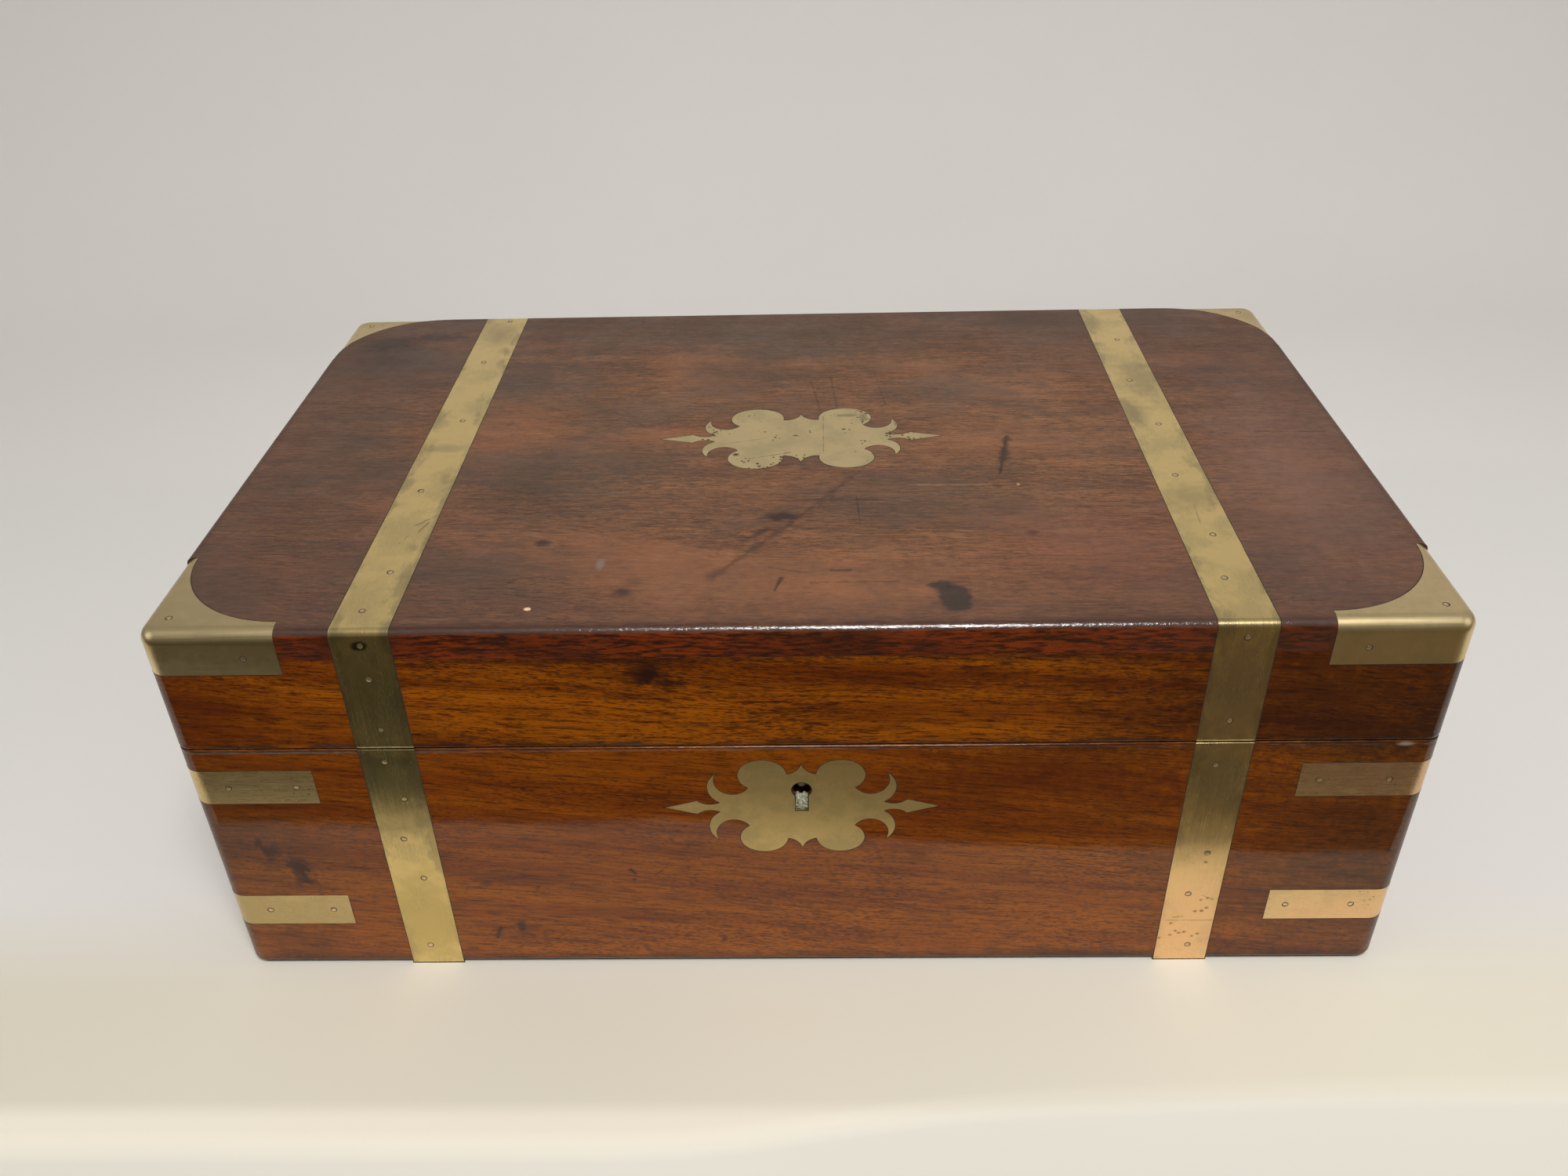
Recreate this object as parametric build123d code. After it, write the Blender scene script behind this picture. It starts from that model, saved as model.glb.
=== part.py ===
from build123d import *
import os
from math import atan, cos, degrees, radians, sin, tan

# A brass-bound mahogany writing slope, shut. Millimetres, +Z up, width along X.
# The lock is in the front face, at -Y. The lid is hinged at the back and turns right over, so that
# the rims of base and lid make one long slope. The origin is on the table, under the middle of the
# box and its hinge knuckles.

# ---- driving dimensions: the case
WIDTH = 406.0
DEPTH = 246.0
HEIGHT = 148.5
SEAM_FRONT = 102.4  # height of the seam in the lock face
BAIZE_T = 0.8
WALL = 9.5
TOP_BOARD_T = 10.8
BOTTOM_T = 6.0
BOTTOM_TONGUE = 4.0  # how far the bottom board is let into the walls
CORNER_R = 6.5
ARRIS_R = 2.6
BASE_ARRIS_R = 2.0
SEAM_GAP = 0.6
SEAM_EASE = 0.5
BAIZE_INSET = 1.3

# ---- driving dimensions: inlaid brass
BRASS_T = 1.0
INLAY_GAP = 0.12
STRAP_X = 133.8
STRAP_W = 18.6
STRAP_FOOT = 0.15  # height of the straps' lower ends, which hide the edge of the baize
BRACKET_LEG = 43.0
BRACKET_DROP = 16.0
BRACKET_ARRIS_R = 4.6  # the brass corners are hammered rounder than the wood beside them
BRACKET_ARMS = {-1: (4.5, 6.0), 1: (1.4, 2.0)}  # widths left at the arms' ends, along x and y, by end
STRIP_LEG = 43.0
STRIP_H = 14.4
STRIP_BELOW_RIM = 9.2
STRIP_LOW_Z = 21.0
PIN_R = 1.0
PIN_LEN = 6.5

# ---- driving dimensions: main hinges, in the seam
KNUCKLE_R = 2.3
HINGE_OUT = 0.3  # the axis stands this far behind the back face
HINGE_X = 85.0
HINGE_LEN = 50.0
HINGE_PIN_R = 1.0
LEAF_T = 1.5
LEAF_W = 8.6
RUN_FIT = 0.05  # radial clearance of a pin in its knuckle
CLEAR = 0.3

# ---- driving dimensions: writing flaps, both on the slope
RECESS = 1.8  # the writing surface lies this far inside the rim
FLAP_T = 6.0
LEATHER_T = 0.8
LEATHER_BORDER = 8.0
HINGE_RAIL_W = 16.0
FLAP_GAP = 0.8
LEDGE_W = 8.0
LEDGE_H = 10.0
SMALL_KNUCKLE_R = 1.3
SMALL_PIN_R = 0.6
SMALL_LEAF_T = 0.9
SMALL_LEAF_W = 6.5
SMALL_HINGE_LEN = 28.0
SMALL_HINGE_X = 120.0

# ---- driving dimensions: pen and ink compartment behind the lock
PEN_DEPTH = 50.0
INK_CELL_W = 48.0
PARTITION_T = 5.0
PARTITION_TOP = 88.0
REST_RAIL_LIP = 4.0
INK_FLOOR_Z = 41.0
INK_FLOOR_T = 5.0
TRAY_H = 16.0
TRAY_Z = 74.0
TRAY_GAP = 0.7
TRAY_CLEAT_W = 6.0
TRAY_CLEAT_H = 8.0
TROUGH_W = 38.0
TROUGH_DEEP = 11.0
TROUGH_END = 13.0
TROUGH_R = 9.0

# ---- driving dimensions: inkwells
BOTTLE = 43.0
BOTTLE_H = 32.0
BOTTLE_FLOOR = 7.0
BOTTLE_SIDE = 6.0
NECK_R = 11.5
NECK_H = 7.0
NECK_BORE_R = 8.0
COLLAR_R = 14.0
COLLAR_H = 5.0
CAP_H = 4.5
CAP_LIFT = 0.3  # air between collar and cap
CAP_AXIS_OUT = 16.0
LUG_R = 1.7
LUG_HALF = 2.3
LUG_OUT = 7.0
LUG_WEB = 1.7
CAP_PIN_R = 0.8

# ---- driving dimensions: lock
KEY_X = -0.5
KEY_Z = 83.2
KEY_R = 3.3
KEY_SLOT_W = 4.4
KEY_SLOT_END = 74.0
LOCK_HALF = 28.0
LOCK_PLATE_HALF = 34.0
LOCK_LOW = 68.0
LOCK_T = 7.5
LOCK_SHEET = 0.8
SELVEDGE_T = 1.5
HOOK_X = 17.0
HOOK_T = 1.8
HOOK_W = 3.4
HOOK_REACH = 8.5
BOLT_T = 1.6
BOLT_TRAVEL = 4.0

# ---- derived places
FRONT = -(DEPTH + HINGE_OUT + KNUCKLE_R) / 2
BACK = FRONT + DEPTH
AXIS_Y = BACK + HINGE_OUT
AXIS_Z = HEIGHT / 2
SLOPE = atan((SEAM_FRONT - AXIS_Z) / (AXIS_Y - FRONT))
HALF_W = WIDTH / 2
HALF_IN = HALF_W - WALL
TOP_JOINT_Z = HEIGHT - TOP_BOARD_T
FLOOR_Z = BAIZE_T + BOTTOM_T
INNER_FRONT = FRONT + WALL
INNER_BACK = BACK - WALL
REST_RAIL_Y = INNER_FRONT + PEN_DEPTH
REST_LEDGE_Y = REST_RAIL_Y + REST_RAIL_LIP
RIM = SEAM_GAP / 2
FAR = 400.0  # longer than anything in the box

# Seam frame: x as in the case, v back along the slope from the hinge axis, w square to the seam.
SEAM = Plane(origin=(0, AXIS_Y, AXIS_Z), x_dir=(1, 0, 0), z_dir=(0, sin(SLOPE), cos(SLOPE))).location


def seam_z(y):
    """Height of the seam at a distance y."""
    return AXIS_Z + (AXIS_Y - y) * tan(SLOPE)


def along(y):
    """Place on the slope, v, of a point of the seam at a distance y."""
    return (y - AXIS_Y) / cos(SLOPE)


def block(x0, x1, y0, y1, z0, z1):
    """A plain block between two corners."""
    return Pos((x0 + x1) / 2, (y0 + y1) / 2, (z0 + z1) / 2) * Box(x1 - x0, y1 - y0, z1 - z0)


def peg(radius, length, at, inward):
    """A round peg that starts at a point and runs inwards along a direction."""
    rod = Cylinder(radius, length, align=(Align.CENTER, Align.CENTER, Align.MIN))
    return Plane(origin=at, z_dir=inward).location * rod


def rod_x(radius, x0, x1, v, w):
    """A rod along X between x0 and x1, at v and w."""
    return Pos((x0 + x1) / 2, v, w) * Rot(0, 90, 0) * Cylinder(radius, x1 - x0)


def group(*parts):
    """Several separate solids as one compound."""
    solids = []
    for part in parts:
        solids.extend(part.solids())
    return Compound(solids)


BELOW_SEAM = SEAM * block(-FAR, FAR, -FAR, FAR, -FAR, -RIM)
ABOVE_SEAM = SEAM * block(-FAR, FAR, -FAR, FAR, RIM, FAR)


# ---- the outside of the box, and the 1 mm skin that the brass is let into
def case_block(inset, floor, arris):
    """The outside of the shut box, drawn in by an inset, standing on a floor height."""
    body = block(-HALF_W + inset, HALF_W - inset, FRONT + inset, BACK - inset, floor, HEIGHT - inset)
    body = fillet(body.edges().filter_by(Axis.Z), CORNER_R - inset)
    return fillet(body.edges().group_by(Axis.Z)[-1], arris - inset)


CASE = case_block(0, BAIZE_T, ARRIS_R)
CASE = fillet(CASE.edges().group_by(Axis.Z)[0], BASE_ARRIS_R)
UNDER_SKIN = case_block(BRASS_T, -HEIGHT, ARRIS_R)
SKIN = case_block(0, STRAP_FOOT, ARRIS_R) - UNDER_SKIN
UNDER_BRACKETS = case_block(BRASS_T, -HEIGHT, BRACKET_ARRIS_R)
BRACKET_SKIN = case_block(0, STRAP_FOOT, BRACKET_ARRIS_R) - UNDER_BRACKETS


def let_in(region):
    """The part of the skin inside a region: a bent sheet that lies flush with the wood."""
    return SKIN & region


# ---- brass straps
def strap_region(side, gap=0.0):
    x = side * STRAP_X
    half = STRAP_W / 2 + gap
    return block(x - half, x + half, -FAR, FAR, -FAR, FAR)


def strap_hoop(side, gap=0.0):
    return let_in(strap_region(side, gap))


# ---- corner strips round the upright edges of the base
def strip_region(side, end, low, gap=0.0):
    """end is -1 at the front and 1 at the back; low is the height of the strip's lower edge."""
    x_edge = side * (HALF_W - STRIP_LEG - gap)
    y_edge = (FRONT + STRIP_LEG + gap) if end < 0 else (BACK - STRIP_LEG - gap)
    x0, x1 = sorted((x_edge, side * FAR))
    y0, y1 = sorted((y_edge, end * FAR))
    return block(x0, x1, y0, y1, low - gap, low + STRIP_H + gap)


def strip_heights(end):
    """Lower edges of the low and the high strip at one end."""
    rim_z = SEAM_FRONT if end < 0 else AXIS_Z
    return (STRIP_LOW_Z, rim_z - STRIP_BELOW_RIM - STRIP_H)


def corner_strips(end, gap=0.0):
    strips = []
    for side in (-1, 1):
        for low in strip_heights(end):
            strips.append(let_in(strip_region(side, end, low, gap)))
    return strips


# ---- corner brackets of the lid
def bracket_region(side, end, gap=0.0):
    """The room of a front leg, a side leg and a top plate with a hollow curve."""
    arm_x, arm_y = BRACKET_ARMS[end]
    leg = BRACKET_LEG + gap
    corner_y = FRONT if end < 0 else BACK
    plate = Pos(leg / 2 - CORNER_R, leg / 2 - CORNER_R) * Rectangle(leg + 2 * CORNER_R, leg + 2 * CORNER_R)
    hollow = Pos(leg, leg) * Ellipse(leg - arm_x - gap, leg - arm_y - gap)
    plan = (plate & Pos(leg / 2, leg / 2) * Rectangle(leg, leg)) - hollow
    prism = extrude(plan, BRACKET_DROP + gap)
    if side > 0:
        prism = mirror(prism, Plane.YZ)
    if end > 0:
        prism = mirror(prism, Plane.XZ)
    return Pos(side * HALF_W, corner_y, HEIGHT - BRACKET_DROP - gap) * prism


def bracket(side, end):
    return BRACKET_SKIN & bracket_region(side, end)


def bracket_pocket(side, end):
    """Everything of the case that is cut away for a bracket."""
    return bracket_region(side, end, INLAY_GAP) - UNDER_BRACKETS


# ---- the cartouche outline, for the escutcheon and the name plaque
LOBE_ARCS = 4


def lobe_point(lobe, lobe_r, angle):
    """A point of a lobe, which is nearly an ellipse."""
    turn = radians(angle)
    return (lobe[0] + lobe_r[0] * cos(turn), lobe[1] + lobe_r[1] * sin(turn))


def lobe_edge(lobe, lobe_r, start, end):
    """The lobe's outline as round arcs that follow an ellipse."""
    step = (end - start) / LOBE_ARCS
    edge = Curve()
    for n in range(LOBE_ARCS):
        angles = [start + (n + part) * step for part in (0, 0.5, 1)]
        edge += ThreePointArc(*[lobe_point(lobe, lobe_r, a) for a in angles])
    return edge


def cartouche(tip, apex, neck, notch, horn, horn_tip, hollow, lobe, lobe_r, lobe_from, lobe_to, spike):
    """Quarter of a four-lobed cartouche with spear ends, mirrored twice. Centre at the origin."""
    lobe_start = lobe_point(lobe, lobe_r, lobe_from)
    lobe_end = lobe_point(lobe, lobe_r, lobe_to)
    spear = Line((0, 0), (tip, 0)) + Line((tip, 0), apex) + ThreePointArc(apex, neck, notch)
    claw = ThreePointArc(notch, horn, horn_tip) + ThreePointArc(horn_tip, hollow, lobe_start)
    dip, spike_top = (spike[0], spike[1]), (0, spike[2])
    spike_side = ThreePointArc(lobe_end, dip, spike_top) + Line(spike_top, (0, 0))
    quarter = make_face(spear + claw + lobe_edge(lobe, lobe_r, lobe_from, lobe_to) + spike_side)
    half = quarter + mirror(quarter, Plane.XZ)
    return half + mirror(half, Plane.YZ)


ESCUTCHEON_OUTLINE = cartouche(
    tip=45.3, apex=(34.6, 3.0), neck=(30.5, 1.3), notch=(27.1, 2.1),
    horn=(31.0, 9.2), horn_tip=(27.7, 14.9), hollow=(24.0, 5.8),
    lobe=(12.8, 13.8), lobe_r=(8.1, 6.6), lobe_from=-54, lobe_to=176, spike=(1.6, 15.9, 19.0),
)
PLAQUE_OUTLINE = cartouche(
    tip=53.2, apex=(40.8, 3.3), neck=(36.2, 1.5), notch=(32.4, 2.6),
    horn=(36.8, 9.6), horn_tip=(34.4, 14.7), hollow=(28.8, 7.2),
    lobe=(16.8, 16.0), lobe_r=(10.2, 8.2), lobe_from=-48, lobe_to=190, spike=(2.6, 15.6, 19.8),
)
ESCUTCHEON_Z = 75.8
PLAQUE_Y = FRONT + DEPTH / 2
FRONT_FACE = Plane(origin=(KEY_X, FRONT, ESCUTCHEON_Z), x_dir=(1, 0, 0), z_dir=(0, -1, 0)).location


def on_front(outline):
    """An outline let into the front face."""
    return FRONT_FACE * extrude(outline, -BRASS_T)


def on_top(outline):
    """An outline let into the top of the lid."""
    return Pos(0, PLAQUE_Y, HEIGHT) * extrude(outline, -BRASS_T)


def keyhole(depth):
    """Round hole with a slot below it, cut in from the front face."""
    bow = Pos(KEY_X, KEY_Z) * Circle(KEY_R)
    slot = Pos(KEY_X, (KEY_Z + KEY_SLOT_END) / 2) * Rectangle(KEY_SLOT_W, KEY_Z - KEY_SLOT_END)
    face = Plane(origin=(0, FRONT, 0), x_dir=(1, 0, 0), z_dir=(0, -1, 0)).location
    return face * extrude(bow + slot, -depth)


# ---- brass pins
INTO_FRONT = (0, 1, 0)
INTO_BACK = (0, -1, 0)
INTO_TOP = (0, 0, -1)


def strap_pins_lid():
    """Pins down the top, front and back legs of both lid straps, as unevenly spaced as by hand."""
    top = {-1: (11.2, 33.0, 86.0, 141.0, 196.0, 240.5), 1: (24.3, 50.0, 90.3, 129.9, 168.7, 209.6)}
    front = {-1: (143.3, 130.3, 110.2), 1: (143.1, 111.0)}
    pins = []
    for side in (-1, 1):
        for n, y in enumerate(top[side]):
            x = side * STRAP_X + (1.6 if n % 2 else -1.4)
            pins.append(peg(PIN_R, PIN_LEN, (x, FRONT + y, HEIGHT), INTO_TOP))
        for z in front[side]:
            pins.append(peg(PIN_R, PIN_LEN, (side * STRAP_X, FRONT, z), INTO_FRONT))
        for z in (141.0, 108.0, 79.0):
            pins.append(peg(PIN_R, PIN_LEN, (side * STRAP_X, BACK, z), INTO_BACK))
    return pins


def bracket_pins():
    """One pin in the front leg, the side leg and the top plate of each bracket."""
    near = BRACKET_LEG * 0.75
    pins = []
    for side in (-1, 1):
        into_side = (-side, 0, 0)
        for corner, step, into in ((FRONT, 1, INTO_FRONT), (BACK, -1, INTO_BACK)):
            low = HEIGHT - BRACKET_DROP * 0.6
            pins.append(peg(PIN_R, PIN_LEN, (side * (HALF_W - near), corner, low), into))
            pins.append(peg(PIN_R, PIN_LEN, (side * HALF_W, corner + step * near, low), into_side))
            pins.append(peg(PIN_R, PIN_LEN, (side * (HALF_W - 8.5), corner + step * 8.5, HEIGHT), INTO_TOP))
    return pins


def strap_pins_base():
    front = {-1: (96.7, 80.5, 62.3, 43.6, 9.6), 1: (92.8, 53.3, 33.7, 8.0)}
    pins = []
    for side in (-1, 1):
        for n, z in enumerate(front[side]):
            x = side * STRAP_X + (2.0 if n % 2 else -1.5)
            pins.append(peg(PIN_R, PIN_LEN, (x, FRONT, z), INTO_FRONT))
        for z in (67.0, 38.0, 9.0):
            pins.append(peg(PIN_R, PIN_LEN, (side * STRAP_X, BACK, z), INTO_BACK))
    return pins


def strip_pins():
    """One pin near the free end of each leg of each corner strip, and one near the corner."""
    pins = []
    for end, corner, into in ((-1, FRONT, INTO_FRONT), (1, BACK, INTO_BACK)):
        for side in (-1, 1):
            for low in strip_heights(end):
                z = low + STRIP_H / 2
                for reach in (14.0, STRIP_LEG - 6.5):
                    pins.append(peg(PIN_R, PIN_LEN, (side * (HALF_W - reach), corner, z), into))
                    y = corner - end * reach
                    pins.append(peg(PIN_R, PIN_LEN, (side * HALF_W, y, z), (-side, 0, 0)))
    return pins


LID_PINS = strap_pins_lid() + bracket_pins()
BASE_PINS = strap_pins_base() + strip_pins()


# ---- wood screws
SCREW_HEAD_R = 2.2
SCREW_R = 1.1
SCREW_HEAD_H = 1.3


def screw_blank(length):
    """Countersunk wood screw, head up at z = 0, with no slot."""
    head = Cone(SCREW_R, SCREW_HEAD_R, SCREW_HEAD_H, align=(Align.CENTER, Align.CENTER, Align.MAX))
    shank = Cylinder(SCREW_R, length, align=(Align.CENTER, Align.CENTER, Align.MAX))
    shank = Pos(0, 0, -SCREW_HEAD_H) * shank
    return head + shank


def screw(length, turn):
    """The same with its slot, turned as the driver left it."""
    slot = Rot(0, 0, turn) * Box(2 * SCREW_HEAD_R, 0.5, 1.0)
    return screw_blank(length) - slot


class Fixing:
    """A screw at a place: its blank for cutting holes and its slotted solid."""

    def __init__(self, place, length, turn):
        self.hole = place * screw_blank(length)
        self.solid = place * screw(length, turn)


def facing(at, outward):
    """Place of a screw whose head looks outward."""
    return Plane(origin=at, z_dir=outward).location


# ---- main hinges
HINGE_SPANS = 5
LEAF_SCREW_V = -5.4
LEAF_SCREW_DX = (-17.0, 0.0, 17.0)


def knuckle(centre_x, n, radius, length, spans, v=0.0, w=0.0):
    """The n-th knuckle of a hinge, counted from the left, with a hair of air at each end."""
    step = length / spans
    x0 = centre_x - length / 2 + n * step
    return rod_x(radius, x0 + RUN_FIT, x0 + step - RUN_FIT, v, w)


def main_leaf(centre_x, rim_side):
    """Leaf and knuckles in the seam frame; rim_side is -1 for the base and 1 for the lid."""
    half = HINGE_LEN / 2
    w0, w1 = sorted((rim_side * RIM, rim_side * (RIM + LEAF_T)))
    leaf = block(centre_x - half, centre_x + half, -LEAF_W, 0, w0, w1)
    leaf -= rod_x(KNUCKLE_R + CLEAR, centre_x - half, centre_x + half, 0, 0)
    own = range(0, HINGE_SPANS, 2) if rim_side < 0 else range(1, HINGE_SPANS, 2)
    step = HINGE_LEN / HINGE_SPANS
    for n in own:
        x0 = centre_x - half + n * step + RUN_FIT
        web = block(x0, x0 + step - 2 * RUN_FIT, -KNUCKLE_R - 1, 0, w0, w1)
        leaf += web
        leaf += knuckle(centre_x, n, KNUCKLE_R, HINGE_LEN, HINGE_SPANS)
    return leaf - rod_x(HINGE_PIN_R + RUN_FIT, centre_x - half - 1, centre_x + half + 1, 0, 0)


def leaf_fixings(rim_side):
    """Three screws in each of the two leaves on one side of the seam."""
    fixings = []
    for side in (-1, 1):
        for n, dx in enumerate(LEAF_SCREW_DX):
            at = (side * HINGE_X + dx, LEAF_SCREW_V, rim_side * RIM)
            place = SEAM * facing(at, (0, 0, -rim_side))
            fixings.append(Fixing(place, 8.0, 25 + 40 * n + 15 * side))
    return fixings


def leaf_mortises(rim_side):
    """What is cut out of a back board for the leaves and the barrels."""
    cuts = []
    for side in (-1, 1):
        half = HINGE_LEN / 2
        x = side * HINGE_X
        w0, w1 = sorted((0, rim_side * (RIM + LEAF_T)))
        cuts.append(SEAM * block(x - half, x + half, -LEAF_W, KNUCKLE_R, w0, w1))
        cuts.append(SEAM * rod_x(KNUCKLE_R + CLEAR, x - half, x + half, 0, 0))
    return cuts


BASE_LEAF_FIXINGS = leaf_fixings(-1)
LID_LEAF_FIXINGS = leaf_fixings(1)


def main_leaves(rim_side, fixings):
    leaves = []
    for side in (-1, 1):
        leaves.append(SEAM * main_leaf(side * HINGE_X, rim_side))
    return [leaf - [f.hole for f in fixings] for leaf in leaves]


def main_pins():
    half = HINGE_LEN / 2
    return [SEAM * rod_x(HINGE_PIN_R, s * HINGE_X - half, s * HINGE_X + half, 0, 0) for s in (-1, 1)]


# ---- lock, set into the inside of the front board
HOOK_PLACES = (KEY_X - HOOK_X, KEY_X + HOOK_X)
LOCK_OUTER_Y = INNER_FRONT - LOCK_T
CAP_T = 1.2
CAP_DROP = 2.0
SELVEDGE_IN = 1.6  # from the front face to the top plate
HOOK_Y = FRONT + 6.2  # where the hooks cross the rim
WINDOW_DOWN = 5.5  # from the rim to the middle of a hook's window
BOLT_Y = HOOK_Y - WINDOW_DOWN * sin(SLOPE)
BOLT_Z = seam_z(BOLT_Y) - RIM - WINDOW_DOWN
SLOT_SIDE = 0.4
KEY_PIN_R = 1.2
KEY_PIN_LEN = 5.2
BAR_BELOW = (8.0, 3.5)  # from the fingers down to the bar's edges
STEM_NEAR = HOOK_T / 2 + BOLT_TRAVEL + CLEAR  # all of these run back from the middle of a hook
STEM_FAR = STEM_NEAR + 2.8
FINGER_TIP = HOOK_T / 2 + 0.7
FINGER_HALF = 1.3
TALON_HALF = 3.0
TALON_DEEP = 1.8


def selvedge():
    """The lock's top plate, let into the rim."""
    x0, x1 = KEY_X - LOCK_PLATE_HALF, KEY_X + LOCK_PLATE_HALF
    v0, v1 = along(FRONT + SELVEDGE_IN), along(INNER_FRONT) + 1
    plate = SEAM * block(x0, x1, v0, v1, -RIM - SELVEDGE_T, -RIM)
    return plate & block(-FAR, FAR, -FAR, INNER_FRONT, -FAR, FAR)


def under_selvedge(body):
    return body & (SEAM * block(-FAR, FAR, -FAR, FAR, -FAR, -RIM - SELVEDGE_T))


def lock_space(half, low, y0, y1):
    return under_selvedge(block(KEY_X - half, KEY_X + half, y0, y1, low, HEIGHT))


def lock_case():
    outer = lock_space(LOCK_HALF, LOCK_LOW, LOCK_OUTER_Y, INNER_FRONT - CAP_T)
    inner_half = LOCK_HALF - LOCK_SHEET
    inner = lock_space(inner_half, LOCK_LOW + LOCK_SHEET, LOCK_OUTER_Y + LOCK_SHEET, INNER_FRONT)
    case = (outer - inner) + selvedge()
    for x in HOOK_PLACES:
        v = along(HOOK_Y)
        half_v = HOOK_W / 2 + SLOT_SIDE
        half_x = HOOK_T / 2 + SLOT_SIDE
        case -= SEAM * block(x - half_x, x + half_x, v - half_v, v + half_v, -5, 5)
    return case - keyhole(WALL - CAP_T)


def lock_cap():
    """Back plate of the lock, flush with the inside of the front board."""
    return lock_space(LOCK_PLATE_HALF, LOCK_LOW - CAP_DROP, INNER_FRONT - CAP_T, INNER_FRONT)


def lock_mortise():
    return [
        lock_space(LOCK_HALF, LOCK_LOW, LOCK_OUTER_Y, INNER_FRONT + 1),
        lock_space(LOCK_PLATE_HALF, LOCK_LOW - CAP_DROP, INNER_FRONT - CAP_T, INNER_FRONT + 1),
        SEAM * block(KEY_X - LOCK_PLATE_HALF, KEY_X + LOCK_PLATE_HALF, along(FRONT + SELVEDGE_IN),
                     along(INNER_FRONT) + 5, -RIM - SELVEDGE_T, 1),
    ]


def key_pin():
    """Pin that a pipe key turns on."""
    return peg(KEY_PIN_R, KEY_PIN_LEN, (KEY_X, INNER_FRONT - CAP_T, KEY_Z), (0, -1, 0))


def lock_bolt():
    """A bar with two hooked fingers that slide through the windows of the lid's hooks."""
    y0, y1 = BOLT_Y - BOLT_T / 2, BOLT_Y + BOLT_T / 2
    bar_low, bar_high = BOLT_Z - BAR_BELOW[0], BOLT_Z - BAR_BELOW[1]
    bolt = block(HOOK_PLACES[0] - STEM_FAR, HOOK_PLACES[1] - STEM_NEAR, y0, y1, bar_low, bar_high)
    for x in HOOK_PLACES:
        bolt += block(x - STEM_FAR, x - STEM_NEAR, y0, y1, bar_low, BOLT_Z + FINGER_HALF)
        bolt += block(x - STEM_NEAR, x - FINGER_TIP, y0, y1, BOLT_Z - FINGER_HALF, BOLT_Z + FINGER_HALF)
    talon = block(KEY_X - TALON_HALF, KEY_X + TALON_HALF, y0, y1, bar_low - 1, bar_low + TALON_DEEP)
    return bolt - talon


def lock_fixings():
    fixings = []
    for x in (KEY_X - 31, KEY_X + 31):
        for n, z in enumerate((71.0, 92.0)):
            fixings.append(Fixing(facing((x, INNER_FRONT, z), (0, 1, 0)), 4.0, 20 + 50 * n + x))
    return fixings


LOCK_FIXINGS = lock_fixings()
LINK_HALF = 30.0
WINDOW_WALL = 0.6
WINDOW_HALF = 1.8
LINK_V = (along(FRONT + 2.4), along(FRONT + 9.0))


def link_plate():
    """Plate in the lid's rim with two windowed hooks that drop into the lock."""
    plate = block(KEY_X - LINK_HALF, KEY_X + LINK_HALF, LINK_V[0], LINK_V[1], RIM, RIM + SELVEDGE_T)
    v = along(HOOK_Y)
    half_v = HOOK_W / 2 - WINDOW_WALL
    w0, w1 = -RIM - WINDOW_DOWN - WINDOW_HALF, -RIM - WINDOW_DOWN + WINDOW_HALF
    for x in HOOK_PLACES:
        hook = block(x - HOOK_T / 2, x + HOOK_T / 2, v - HOOK_W / 2, v + HOOK_W / 2, -HOOK_REACH, RIM)
        plate += hook - block(x - HOOK_T, x + HOOK_T, v - half_v, v + half_v, w0, w1)
    return SEAM * plate


def link_fixings():
    v = (LINK_V[0] + LINK_V[1]) / 2
    fixings = []
    for n, x in enumerate((KEY_X - 25, KEY_X, KEY_X + 25)):
        fixings.append(Fixing(SEAM * facing((x, v, RIM), (0, 0, -1)), 8.0, 35 + 55 * n))
    return fixings


LINK_FIXINGS = link_fixings()


# ---- writing flaps, their rails and their small hinges, in the seam frame
RAIL_V = (-WALL / cos(SLOPE) - HINGE_OUT - HINGE_RAIL_W, -WALL / cos(SLOPE) - HINGE_OUT - 0.05)
FLAP_AXIS_V = RAIL_V[0] - FLAP_GAP / 2
FLAP_TOP_V = RAIL_V[0] - FLAP_GAP
BASE_FLAP_END_V = along(REST_LEDGE_Y + 1.2)
LID_FLAP_END_V = along(INNER_FRONT + 1.2)
FLAP_HALF_W = HALF_IN - 0.5
SMALL_SPANS = 3


def on_surface(side, v0, v1, thick, half_x):
    """A slab whose upper side is a writing surface; side is -1 in the base and 1 in the lid."""
    w0, w1 = sorted((side * RECESS, side * (RECESS + thick)))
    return block(-half_x, half_x, v0, v1, w0, w1)


def flap_leather(side, end_v):
    low, high = end_v + LEATHER_BORDER, FLAP_TOP_V - LEATHER_BORDER
    return on_surface(side, low, high, LEATHER_T, FLAP_HALF_W - LEATHER_BORDER)


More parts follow.
